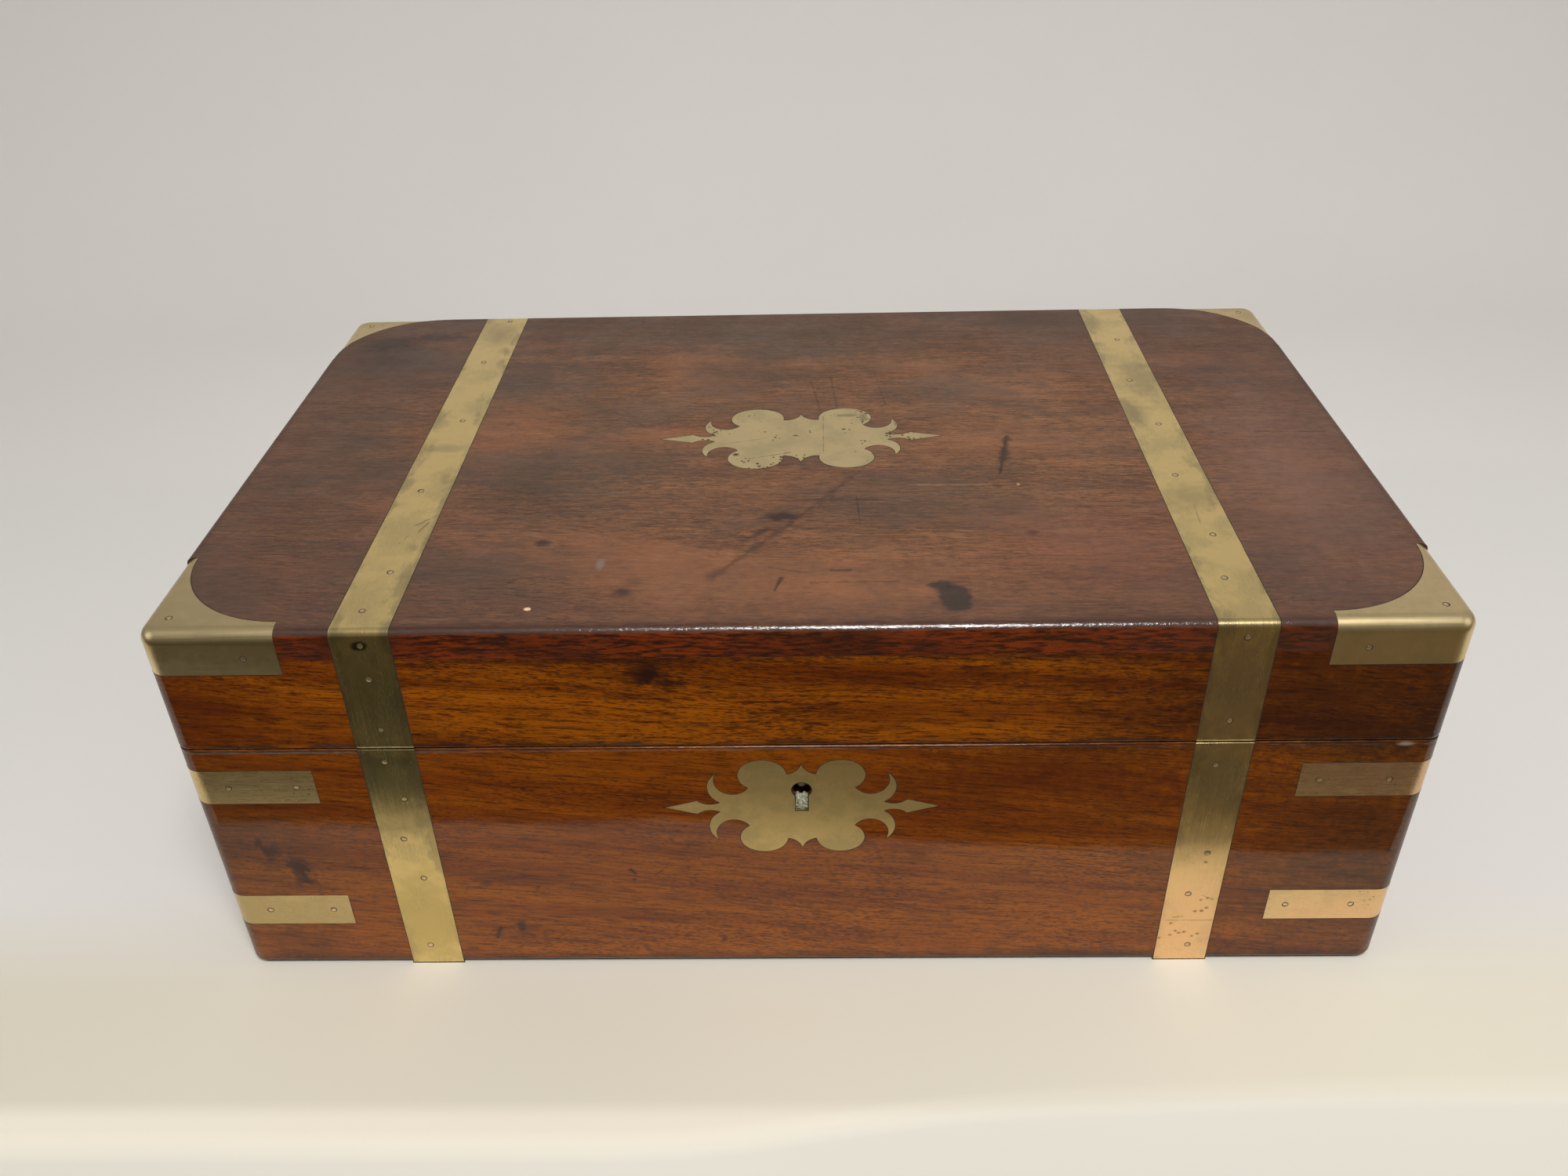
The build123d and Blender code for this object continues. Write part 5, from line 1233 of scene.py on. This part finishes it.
# %% Every solid gets its finish
FINISHES = {
    base_front_finish: ["base_front_board"],
    lid_front_finish: ["lid_front_rail"],
    back_finish: ["base_back_board", "lid_back_rail"],
    side_finish: ["base_left_board", "base_right_board", "lid_left_rail", "lid_right_rail"],
    worn_top: ["lid_top_board"],
    inner_long: [
        "bottom_board", "flap_rest_rail", "pen_tray", "base_hinge_rail", "lid_hinge_rail",
        "base_flap_board", "lid_flap_board",
    ],
    inner_cross: ["pen_partitions", "inkwell_floors", "base_ledges", "lid_flap_ledges"],
    strap_brass: ["base_front_straps", "base_back_straps", "lid_strap_left", "lid_strap_right"],
    corner_brass: ["bracket_front_left", "bracket_front_right", "bracket_back_left", "bracket_back_right"],
    strip_brass: ["base_front_corner_strips", "base_back_corner_strips"],
    plaque_brass: ["name_plaque"],
    escutcheon_brass: ["escutcheon"],
    pin_brass: ["base_pins", "lid_pins"],
    fitting_brass: [
        "main_hinge_base_leaves", "main_hinge_lid_leaves", "main_hinge_pins", "base_screws", "lid_screws",
        "base_flap_fixed_leaves", "base_flap_moving_leaves", "base_flap_hinge_pins", "lid_flap_hinges",
        "flap_catch", "link_plate", "ink_collars", "ink_cap_left", "ink_cap_right", "ink_cap_pins",
    ],
    lock_plate_brass: ["lock_case", "lock_cap", "lock_bolt"],
    steel: ["lock_key_pin"],
    leather: ["base_flap_leather", "lid_flap_leather"],
    baize: ["baize"],
    glass: ["ink_bottle_left", "ink_bottle_right"],
}


def dress(node, finish):
    """Gives a CAD solid one finish all over."""
    solid = parts[node]
    if not solid.material_slots:
        solid.data.materials.append(finish)
    for used in solid.material_slots:
        used.material = finish


for finish, names in FINISHES.items():
    for name in names:
        dress(name, finish)
dressed = {name for names in FINISHES.values() for name in names}
print("dressed", len(dressed), "of", len(parts), "solids; left:", sorted(set(parts) - dressed))

# %% [markdown]
# ## Reading the CAD solids
#
# The fine pieces have to land exactly on the brass, so they read their places from the solids. A
# solid comes as loose triangles, so we work on a copy whose corners are merged. To tell the outside
# of the box from the walls of a pocket, we compare a face with the way out of the box at that
# place, which turns smoothly round the rounded edges.

# %% Helpers that read a solid
BOX_MIDDLE = (low + high) / 2
BOX_HALF = Vector(CASE_HALF) * MM
SOFT_EDGE = 4.0 * MM
SEAM_PLACE = Vector(SEAM_AT) * MM
SEAM_WAY = Vector(SEAM_NORMAL)
DOWN_SLOPE = Vector((0, -math.cos(SLOPE), math.sin(SLOPE)))
ACROSS_BOX = Vector((1, 0, 0))


def merged_copy(node):
    """A solid as a bmesh with its corners merged."""
    solid = bmesh.new()
    solid.from_mesh(parts[node].data)
    bmesh.ops.remove_doubles(solid, verts=solid.verts, dist=1e-6)
    solid.normal_update()
    return solid


def way_out(point):
    """The direction straight out of the box from a point near its skin."""
    off = point - BOX_MIDDLE
    past = [max(0.0, abs(off[n]) - (BOX_HALF[n] - SOFT_EDGE)) for n in range(3)]
    return Vector([math.copysign(past[n], off[n]) for n in range(3)]).normalized()


def islands(solid):
    """The separate lumps of a bmesh, each a list of its corners, in the order of their first ones."""
    reached = set()
    found = []
    for first in solid.verts:
        if first in reached:
            continue
        reached.add(first)
        lump, edge = [], [first]
        while edge:
            corner = edge.pop()
            lump.append(corner)
            for link in corner.link_edges:
                other = link.other_vert(corner)
                if other not in reached:
                    reached.add(other)
                    edge.append(other)
        found.append(lump)
    return found


print("corners of the plaque:", len(merged_copy("name_plaque").verts))


# %% Helpers that make a mesh
def mesh_of(name, points, edges=()):
    """A mesh of points, and edges between them, with no faces."""
    mesh = bpy.data.meshes.new(name)
    mesh.from_pydata(points, edges, [])
    return mesh


def mesh_in_metres(name, solid):
    """A mesh from a bmesh that was drawn in millimetres. The bmesh is freed."""
    bmesh.ops.scale(solid, verts=solid.verts, vec=(MM, MM, MM))
    mesh = bpy.data.meshes.new(name)
    solid.to_mesh(mesh)
    solid.free()
    return mesh


def grown(name, source, tree, values):
    """Runs a Geometry Nodes tree on a mesh and keeps the result as a plain mesh."""
    made = bpy.data.objects.new(name, source)
    bpy.context.scene.collection.objects.link(made)
    growing = made.modifiers.new("growing", "NODES")
    growing.node_group = tree
    for socket in tree.interface.items_tree:
        if socket.item_type == "SOCKET" and socket.in_out == "INPUT" and socket.name in values:
            growing[socket.identifier] = values[socket.name]
    depsgraph = bpy.context.evaluated_depsgraph_get()
    result = bpy.data.meshes.new_from_object(made.evaluated_get(depsgraph))
    made.modifiers.remove(growing)
    made.data = result
    print(name, "has", sum(len(face.vertices) - 2 for face in result.polygons), "triangles")
    return made


def new_tree(name, takes):
    """An empty Geometry Nodes tree with named inputs."""
    tree = bpy.data.node_groups.new(name, "GeometryNodeTree")
    kinds = {
        "shape": "NodeSocketGeometry", "length": "NodeSocketFloat", "count": "NodeSocketInt",
        "finish": "NodeSocketMaterial", "object": "NodeSocketObject",
    }
    for socket, kind in takes:
        tree.interface.new_socket(socket, in_out="INPUT", socket_type=kinds[kind])
    tree.interface.new_socket("Geometry", in_out="OUTPUT", socket_type="NodeSocketGeometry")
    return tree, tree.nodes.new("NodeGroupInput").outputs, tree.nodes.new("NodeGroupOutput").inputs


print("helpers for meshes ready")

# %% [markdown]
# ## Brass pins
#
# Each strap is held by brass pins driven into the wood, filed nearly flush. A pin shows as a low
# domed head in a ring of dark wax. The CAD has plain pegs, so each peg is swapped for a head: one
# small shape is drawn once, and Geometry Nodes set a copy on each peg's end, facing out with a
# slight tilt and a little different in size each time.

# %% One pin head
PIN_HOLE_R = 1.0
RING_WIDTH = 0.12
HEAD_SIDES = 14
HEAD_LINE = [(0.0, 0.085), (0.45, 0.072), (0.75, 0.040), (0.90, -0.005), (0.94, -0.10)]
WAX_LINE = [(0.94, -0.10), (0.98, -0.04), (PIN_HOLE_R + 0.03, 0.010), (PIN_HOLE_R + RING_WIDTH, -0.10)]


def spun(solid, line, sides, closed_top):
    """Spins a line of (radius, height) about Z. The first point is the middle if closed_top."""
    rings = []
    for radius, height in line[1:] if closed_top else line:
        ring = []
        for n in range(sides):
            a = 2 * math.pi * n / sides
            ring.append(solid.verts.new((radius * math.cos(a), radius * math.sin(a), height)))
        rings.append(ring)
    faces = []
    if closed_top:
        middle = solid.verts.new((0, 0, line[0][1]))
        faces += [solid.faces.new((middle, rings[0][n], rings[0][(n + 1) % sides])) for n in range(sides)]
    for inner, outer in zip(rings, rings[1:]):
        for n in range(sides):
            m = (n + 1) % sides
            faces.append(solid.faces.new((inner[n], outer[n], outer[m], inner[m])))
    return faces


def pin_shape():
    """A pin head and its wax ring, in metres, with the wax faces marked."""
    solid = bmesh.new()
    is_wax = solid.faces.layers.int.new("is_wax")
    spun(solid, HEAD_LINE, HEAD_SIDES, True)
    for face in spun(solid, WAX_LINE, HEAD_SIDES, False):
        face[is_wax] = 1
    foot = [v for v in solid.verts if v.co.xy.length > PIN_HOLE_R + RING_WIDTH - 0.02]
    foot.sort(key=lambda v: math.atan2(v.co.y, v.co.x))
    bottom = solid.faces.new(list(reversed(foot)))
    bottom[is_wax] = 1
    bmesh.ops.remove_doubles(solid, verts=solid.verts, dist=1e-5)
    mesh = mesh_in_metres("pin_shape", solid)
    mesh.shade_smooth()
    return bpy.data.objects.new("pin_shape", mesh)


pin_template = pin_shape()
print("pin head has", len(pin_template.data.polygons), "faces")

# %% The tree that sets pins
pin_tree, ins, outs = new_tree("pins_on_points", [
    ("Geometry", "shape"), ("Head", "object"), ("Least size", "length"), ("Most size", "length"),
    ("Most turn", "length"), ("Seed", "count"), ("Brass", "finish"), ("Wax and slot shade", "finish"),
])
facing = add_node(pin_tree, "GeometryNodeInputNamedAttribute", {"Name": "facing"}, data_type="FLOAT_VECTOR")
way = {"Vector": facing.outputs["Attribute"]}
stand = add_node(pin_tree, "FunctionNodeAlignRotationToVector", way, axis="Z")
head = add_node(pin_tree, "GeometryNodeObjectInfo", {"Object": ins["Head"]})
size = add_node(pin_tree, "FunctionNodeRandomValue", {"Seed": ins["Seed"]}, data_type="FLOAT")
pin_tree.links.new(ins["Least size"], size.inputs[2])
pin_tree.links.new(ins["Most size"], size.inputs[3])
spin = add_node(pin_tree, "FunctionNodeRandomValue", {2: 0.0, "Seed": ins["Seed"]}, data_type="FLOAT")
pin_tree.links.new(ins["Most turn"], spin.inputs[3])
spun_by = add_node(pin_tree, "FunctionNodeAxisAngleToRotation", {"Axis": (0, 0, 1), "Angle": spin.outputs[1]})
both_turns = {0: stand.outputs[0], 1: spun_by.outputs[0]}
standing = add_node(pin_tree, "FunctionNodeRotateRotation", both_turns, rotation_space="LOCAL")
placed = add_node(pin_tree, "GeometryNodeInstanceOnPoints", {
    "Points": ins["Geometry"],
    "Instance": head.outputs["Geometry"],
    "Rotation": standing.outputs[0],
    "Scale": size.outputs[1],
})
solid_pins = add_node(pin_tree, "GeometryNodeRealizeInstances", {"Geometry": placed.outputs[0]})
in_brass = add_node(pin_tree, "GeometryNodeSetMaterial", {
    "Geometry": solid_pins.outputs[0], "Material": ins["Brass"],
})
wax_and_slot_shade_faces = add_node(pin_tree, "GeometryNodeInputNamedAttribute", {"Name": "is_wax"}, data_type="INT")
wax_and_slot_shade_or_not = {2: wax_and_slot_shade_faces.outputs["Attribute"], 3: 0}
is_wax = add_node(pin_tree, "FunctionNodeCompare", wax_and_slot_shade_or_not, data_type="INT", operation="GREATER_THAN")
in_wax_and_slot_shade = add_node(pin_tree, "GeometryNodeSetMaterial", {
    "Geometry": in_brass.outputs[0], "Selection": is_wax.outputs[0], "Material": ins["Wax and slot shade"],
})
pin_tree.links.new(in_wax_and_slot_shade.outputs[0], outs["Geometry"])
print("pin tree with", len(pin_tree.nodes), "nodes")


# %% Pins on the base and the lid
def points_facing(name, points, ways):
    """A mesh of points that carry a direction each."""
    mesh = mesh_of(name + "_points", points)
    facing = mesh.attributes.new("facing", "FLOAT_VECTOR", "POINT")
    facing.data.foreach_set("vector", [value for way in ways for value in way])
    return mesh


def peg_ends(node):
    """A mesh of points, one on the outer end of each peg, that carry the way out as facing."""
    solid = merged_copy(node)
    points, ways = [], []
    for lump in islands(solid):
        middle = sum((v.co for v in lump), Vector()) / len(lump)
        out = way_out(middle)
        reach = max((v.co - middle).dot(out) for v in lump)
        points.append(middle + out * reach)
        tilt = Vector([random.uniform(-0.10, 0.10) for _ in range(3)])
        ways.append((out + tilt).normalized())
    solid.free()
    return points_facing(node, points, ways)


def set_pins(name, node, body, seed):
    """Pin heads in the place of the pegs of one node."""
    random.seed(seed)
    pins = grown(name, peg_ends(node), pin_tree, {
        "Head": pin_template, "Least size": 0.94, "Most size": 1.04, "Most turn": 0.0, "Seed": seed,
        "Brass": pin_brass, "Wax and slot shade": pin_wax,
    })
    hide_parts(node)
    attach(pins, body)


set_pins("base_pin_heads", "base_pins", "base", 3)
set_pins("lid_pin_heads", "lid_pins", "lid", 7)
bpy.data.objects.remove(pin_template)

# %% [markdown]
# The small hinges of the writing flaps are held by two slotted screws in each leaf, too fine for the
# CAD. The same tree sets them: another head is drawn, with a slot, and the points come from the flat
# face of each leaf. Their slots point every way, so the turn of each head is random. A slot is only a
# hair deep, and its floor is painted dark with the glue finish: painted shade for the depth of the
# slot, and the dirt in it.

# %% One slotted screw head
SCREW_R = 1.35
SLOT_HALF_WIDTH = 0.19
SCREW_PROUD = 0.05
SCREW_ARC = 8


def lump_from_outline(solid, outline, bottom, top):
    """A closed prism on an outline given anticlockwise."""
    lower = [solid.verts.new((x, y, bottom)) for x, y in outline]
    upper = [solid.verts.new((x, y, top)) for x, y in outline]
    faces = [solid.faces.new(list(reversed(lower))), solid.faces.new(upper)]
    count = len(outline)
    for n in range(count):
        m = (n + 1) % count
        faces.append(solid.faces.new((lower[n], lower[m], upper[m], upper[n])))
    return faces


def screw_shape():
    """Two half rounds with a slot a hair deep between them, and the slot's floor, painted dark for shade and
    dirt.
    """
    solid = bmesh.new()
    is_wax = solid.faces.layers.int.new("is_wax")
    lean = math.asin(SLOT_HALF_WIDTH / SCREW_R)
    angles = [lean + (math.pi - 2 * lean) * n / SCREW_ARC for n in range(SCREW_ARC + 1)]
    half = [(SCREW_R * math.cos(a), SCREW_R * math.sin(a)) for a in angles]
    for flip in (1, -1):
        outline = [(flip * x, flip * y) for x, y in half]
        lump_from_outline(solid, outline, -0.25, SCREW_PROUD)
    reach = SCREW_R * 0.97
    width = SLOT_HALF_WIDTH * 1.05
    floor = [(-reach, -width), (reach, -width), (reach, width), (-reach, width)]
    # The slot's floor: painted shade as well as dirt, since the slot is only a hair deep.
    for face in lump_from_outline(solid, floor, -0.24, 0.005):
        face[is_wax] = 1
    return bpy.data.objects.new("screw_shape", mesh_in_metres("screw_shape", solid))


screw_template = screw_shape()
print("screw head has", len(screw_template.data.polygons), "faces")


# %% Screws in the small hinges
SCREW_INSET = 2.3
SCREW_END = 5.0
LEAST_LEAF = 3.0


def leaf_screw_points(node, faces_out):
    """Two points on the flat face of each leaf of a solid, near the edge away from the knuckles."""
    solid = merged_copy(node)
    up = SEAM_WAY * faces_out
    points = []
    for leaf in islands(solid):
        flat = [v.co for v in leaf if any(face.normal.dot(up) > 0.99999 for face in v.link_faces)]
        flat.sort(key=lambda corner: corner.dot(up))
        level = flat[len(flat) // 2].dot(up) if flat else 0.0
        flat = [corner for corner in flat if abs(corner.dot(up) - level) < 0.01 * MM]
        xs = sorted(corner.x for corner in flat)
        downs = sorted(corner.dot(DOWN_SLOPE) for corner in flat)
        if not flat or downs[-1] - downs[0] < LEAST_LEAF * MM:
            continue
        before_pin = max(v.co.dot(DOWN_SLOPE) for v in leaf) - downs[-1] < 0.1 * MM
        down = downs[-1] - SCREW_INSET * MM if before_pin else downs[0] + SCREW_INSET * MM
        for x in (xs[0] + SCREW_END * MM, xs[-1] - SCREW_END * MM):
            points.append(Vector((x, 0, 0)) + DOWN_SLOPE * down + up * level)
    solid.free()
    return points


def set_screws(name, body, node, faces_out, seed):
    """Screws in the leaves of one node, which look up or down out of the seam."""
    points = leaf_screw_points(node, faces_out)
    ways = [SEAM_WAY * faces_out] * len(points)
    screws = grown(name, points_facing(name, points, ways), pin_tree, {
        "Head": screw_template, "Least size": 0.97, "Most size": 1.03, "Most turn": math.pi, "Seed": seed,
        # The slot floors take the dark glue finish: painted shade and dirt in the slots.
        "Brass": fitting_brass, "Wax and slot shade": old_glue_and_slot_shade,
    })
    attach(screws, body)
    print(name, "at", len(points), "places")


set_screws("base_hinge_screws", "base", "base_flap_fixed_leaves", 1, 11)
set_screws("base_flap_hinge_screws", "base_flap", "base_flap_moving_leaves", 1, 12)
set_screws("lid_hinge_screws", "lid", "lid_flap_hinges", -1, 13)
bpy.data.objects.remove(screw_template)

# %% [markdown]
# ## The hairline round the inlays
#
# Inlaid brass never fits its pocket perfectly. The gap is filled with dark glue and wax and shows as
# a hairline round every strap, bracket, strip and cartouche. It follows the outline of the brass, so
# it is a tree that turns edges into a thin bead: the edges are those between a face that looks out
# of the box and one that doesn't. The bead is laid a little deep, so hardly any of it stands proud.

# %% The tree that lays a bead along edges
bead_tree, ins, outs = new_tree("bead_on_edges", [
    ("Geometry", "shape"), ("Bead radius", "length"), ("Sides", "count"), ("Finish", "finish"),
])
path = add_node(bead_tree, "GeometryNodeMeshToCurve", {"Mesh": ins["Geometry"]})
ring = add_node(bead_tree, "GeometryNodeCurvePrimitiveCircle", {
    "Resolution": ins["Sides"], "Radius": ins["Bead radius"],
})
bead = add_node(bead_tree, "GeometryNodeCurveToMesh", {
    "Curve": path.outputs[0], "Profile Curve": ring.outputs[0], "Fill Caps": True,
})
solid_bead = add_node(bead_tree, "GeometryNodeRealizeInstances", {"Geometry": bead.outputs[0]})
finished = add_node(bead_tree, "GeometryNodeSetMaterial", {
    "Geometry": solid_bead.outputs[0], "Material": ins["Finish"],
})
bead_tree.links.new(finished.outputs[0], outs["Geometry"])
print("bead tree with", len(bead_tree.nodes), "nodes")

# %% Hairlines
HAIRLINE_R = 0.20
HAIRLINE_DEEP = 0.13
HAIRLINE_SIDES = 6
CLEAR_OF_SEAM = 1.2
CLEAR_OF_FOOT = 1.0
LOOKS_OUT = 0.7


def outline_mesh(name, nodes):
    """The outlines of inlays on the skin of the box, sunk a little, as loose edges."""
    points, edges = [], []
    for node in nodes:
        solid = merged_copy(node)
        number = {}
        for edge in solid.edges:
            facing = [face.normal.dot(way_out(face.calc_center_median())) for face in edge.link_faces]
            outside = [share > LOOKS_OUT for share in facing]
            middle = (edge.verts[0].co + edge.verts[1].co) / 2
            off_seam = abs((middle - SEAM_PLACE).dot(SEAM_WAY))
            if sum(outside) != 1 or len(outside) != 2:
                continue
            if off_seam < CLEAR_OF_SEAM * MM or middle.z < CLEAR_OF_FOOT * MM:
                continue
            for corner in edge.verts:
                if corner not in number:
                    number[corner] = len(points)
                    points.append(corner.co - way_out(corner.co) * HAIRLINE_DEEP * MM)
            edges.append([number[corner] for corner in edge.verts])
        solid.free()
    print(name, "follows", len(edges), "edges")
    return mesh_of(name, points, edges)


def lay_hairline(name, nodes, body):
    """A hairline of old glue round the inlays of one body."""
    hairline = grown(name, outline_mesh(name, nodes), bead_tree, {
        "Bead radius": HAIRLINE_R * MM, "Sides": HAIRLINE_SIDES, "Finish": old_glue_and_slot_shade,
    })
    hairline.data.shade_smooth()
    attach(hairline, body)


lay_hairline("base_hairlines", [
    "base_front_straps", "base_back_straps", "escutcheon",
    "base_front_corner_strips", "base_back_corner_strips",
], "base")
lay_hairline("lid_hairlines", [
    "lid_strap_left", "lid_strap_right", "name_plaque",
    "bracket_front_left", "bracket_front_right", "bracket_back_left", "bracket_back_right",
], "lid")

# %% [markdown]
# ## Gold tooling on the leather
#
# A bookbinder's hand tools pressed gold leaf into the leather in a border: two fine lines with a
# row of small leaves between them. The leather lies on the slope, so the border is drawn flat in the
# leather's own plane first: across, down the slope, and out of it. Two rectangles become lines with
# the bead tree, and a second tree walks a third rectangle and stamps a leaf at even steps.


# %% The leather's own plane
def sheet_plane(node, faces_out):
    """The size of a sheet on the slope, and the matrix that lays flat work on its face."""
    corners = [v.co - SEAM_PLACE for v in parts[node].data.vertices]
    spans = [sorted(c.dot(way) for c in corners) for way in (ACROSS_BOX, DOWN_SLOPE, SEAM_WAY)]
    (x0, x1), (v0, v1), (w0, w1) = [(span[0], span[-1]) for span in spans]
    face_at = w1 if faces_out > 0 else w0
    middle = SEAM_PLACE + ACROSS_BOX * (x0 + x1) / 2 + DOWN_SLOPE * (v0 + v1) / 2 + SEAM_WAY * face_at
    up = SEAM_WAY * faces_out
    along = up.cross(ACROSS_BOX)
    frame_of = Matrix([ACROSS_BOX, along, up]).transposed().to_4x4()
    return (x1 - x0, v1 - v0), Matrix.Translation(middle) @ frame_of


base_leather_size, _ = sheet_plane("base_flap_leather", 1)
print("leather of the base flap is", [round(v / MM, 1) for v in base_leather_size], "mm")

# %% One gold leaf
LEAF_HALF_THICK = 0.03
LEAF_TIP = 2.2
LEAF_EDGE = [(-1.2, 0.45), (-0.5, 1.35), (0.0, 1.75), (0.35, 1.2), (0.5, 0.55), (1.3, 0.75)]


def leaf_shape():
    """A three-lobed leaf as a very thin closed plate, lying flat and pointing along X."""
    solid = bmesh.new()
    other_edge = [(x, -y) for x, y in LEAF_EDGE]
    outline = [(-LEAF_TIP, 0.0)] + other_edge + [(LEAF_TIP, 0.0)] + LEAF_EDGE[::-1]
    lump_from_outline(solid, outline, -LEAF_HALF_THICK, LEAF_HALF_THICK)
    bmesh.ops.triangulate(solid, faces=[face for face in solid.faces if len(face.verts) > 4])
    return bpy.data.objects.new("leaf_shape", mesh_in_metres("leaf_shape", solid))


leaf_template = leaf_shape()
print("leaf has", len(leaf_template.data.polygons), "faces")

# %% The tree that stamps a row
stamp_tree, ins, outs = new_tree("stamps_along_edges", [
    ("Geometry", "shape"), ("Stamp", "object"), ("Pitch", "length"), ("Finish", "finish"),
])
path = add_node(stamp_tree, "GeometryNodeMeshToCurve", {"Mesh": ins["Geometry"]})
by_pitch = {"Curve": path.outputs[0], "Length": ins["Pitch"]}
steps = add_node(stamp_tree, "GeometryNodeResampleCurve", by_pitch, mode="LENGTH")
way = {"Vector": add_node(stamp_tree, "GeometryNodeInputTangent").outputs[0]}
heading = add_node(stamp_tree, "FunctionNodeAlignRotationToVector", way, axis="X", pivot_axis="Z")
stamp = add_node(stamp_tree, "GeometryNodeObjectInfo", {"Object": ins["Stamp"]})
row = add_node(stamp_tree, "GeometryNodeInstanceOnPoints", {
    "Points": steps.outputs[0], "Instance": stamp.outputs["Geometry"], "Rotation": heading.outputs[0],
})
pressed = add_node(stamp_tree, "GeometryNodeRealizeInstances", {"Geometry": row.outputs[0]})
gilded = add_node(stamp_tree, "GeometryNodeSetMaterial", {
    "Geometry": pressed.outputs[0], "Material": ins["Finish"],
})
stamp_tree.links.new(gilded.outputs[0], outs["Geometry"])
print("stamp tree with", len(stamp_tree.nodes), "nodes")


# %% Tooled borders
LINE_INSETS = (6.0, 12.6)
LEAF_INSET = 9.3
LEAF_PITCH = 5.6
GOLD_LINE_R = 0.16
GOLD_LINE_SIDES = 5


def rectangles(name, size, insets):
    """Rectangles drawn flat, each a given distance in from the sheet's edge, as loose edges."""
    points, edges = [], []
    for inset in insets:
        x, y = size[0] / 2 - inset * MM, size[1] / 2 - inset * MM
        first = len(points)
        points += [(-x, -y, 0), (x, -y, 0), (x, y, 0), (-x, y, 0)]
        edges += [(first + n, first + (n + 1) % 4) for n in range(4)]
    return mesh_of(name, points, edges)


def tool_border(name, node, faces_out, body):
    """A border on one leather: its lines, and the leaves between them."""
    size, lay_flat = sheet_plane(node, faces_out)
    lines = grown(name + "_lines", rectangles(name, size, LINE_INSETS), bead_tree, {
        "Bead radius": GOLD_LINE_R * MM, "Sides": GOLD_LINE_SIDES, "Finish": gold_leaf,
    })
    leaves = grown(name + "_leaves", rectangles(name, size, [LEAF_INSET]), stamp_tree, {
        "Stamp": leaf_template, "Pitch": LEAF_PITCH * MM, "Finish": gold_leaf,
    })
    for piece in (lines, leaves):
        piece.data.transform(lay_flat)
        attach(piece, body)


tool_border("base_tooling", "base_flap_leather", 1, "base_flap")
tool_border("lid_tooling", "lid_flap_leather", -1, "lid")
bpy.data.objects.remove(leaf_template)

# %% [markdown]
# ## Crumbs in the keyhole
#
# Polish, wax and dust have packed the slot of the keyhole. It is one lump with a rough, cracked
# face: a grid of points inside the slot, pushed in and out by noise and given sides.

# %% Keyhole crumbs
KEY_X = -0.5
SLOT_HALF = 2.05
CRUMBS_FROM, CRUMBS_TO = 74.1, 79.6
CRUMBS_DEEP = 3.0
ACROSS, UP = 9, 11


def crumb_front(u, v):
    """How far behind the face the crumbs lie at a place in the slot, from 0 to 1 across and up."""
    rough = math.sin(9.1 * u + 4.0 * v) * math.sin(7.3 * v + 2.0) + 0.6 * math.sin(23.0 * u * v + 1.3)
    return 0.75 + 0.28 * rough + 0.9 * max(0.0, v - 0.75)


def crumb_lump():
    """The lump as a closed mesh: a rough front, a flat back, and sides between their rims."""
    random.seed(5)
    solid = bmesh.new()
    rows = {"front": [], "back": []}
    for j in range(UP):
        for side in rows:
            rows[side].append([])
        v = j / (UP - 1)
        for i in range(ACROSS):
            u = i / (ACROSS - 1)
            x = KEY_X - SLOT_HALF + 2 * SLOT_HALF * u
            ragged = 0.5 * math.sin(11.0 * u) * v
            z = CRUMBS_FROM + (CRUMBS_TO - CRUMBS_FROM + ragged) * v
            y = FACE_Y + crumb_front(u, v) + random.uniform(-0.09, 0.09)
            rows["front"][j].append(solid.verts.new((x, y, z)))
            rows["back"][j].append(solid.verts.new((x, FACE_Y + CRUMBS_DEEP, z)))
    front, back = rows["front"], rows["back"]
    for j in range(UP - 1):
        for i in range(ACROSS - 1):
            solid.faces.new((front[j][i], front[j][i + 1], front[j + 1][i + 1], front[j + 1][i]))
            solid.faces.new((back[j][i], back[j + 1][i], back[j + 1][i + 1], back[j][i + 1]))
    rim = [(0, i) for i in range(ACROSS - 1)] + [(j, ACROSS - 1) for j in range(UP - 1)]
    rim += [(UP - 1, i) for i in range(ACROSS - 1, 0, -1)] + [(j, 0) for j in range(UP - 1, 0, -1)]
    for (j, i), (m, k) in zip(rim, rim[1:] + rim[:1]):
        solid.faces.new((front[j][i], back[j][i], back[m][k], front[m][k]))
    bmesh.ops.recalc_face_normals(solid, faces=solid.faces)
    mesh = mesh_in_metres("keyhole_crumbs", solid)
    mesh.materials.append(key_crumbs)
    return mesh


crumbs = bpy.data.objects.new("keyhole_crumbs", crumb_lump())
bpy.context.scene.collection.objects.link(crumbs)
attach(crumbs, "base")
print("crumbs of", len(crumbs.data.polygons), "faces")
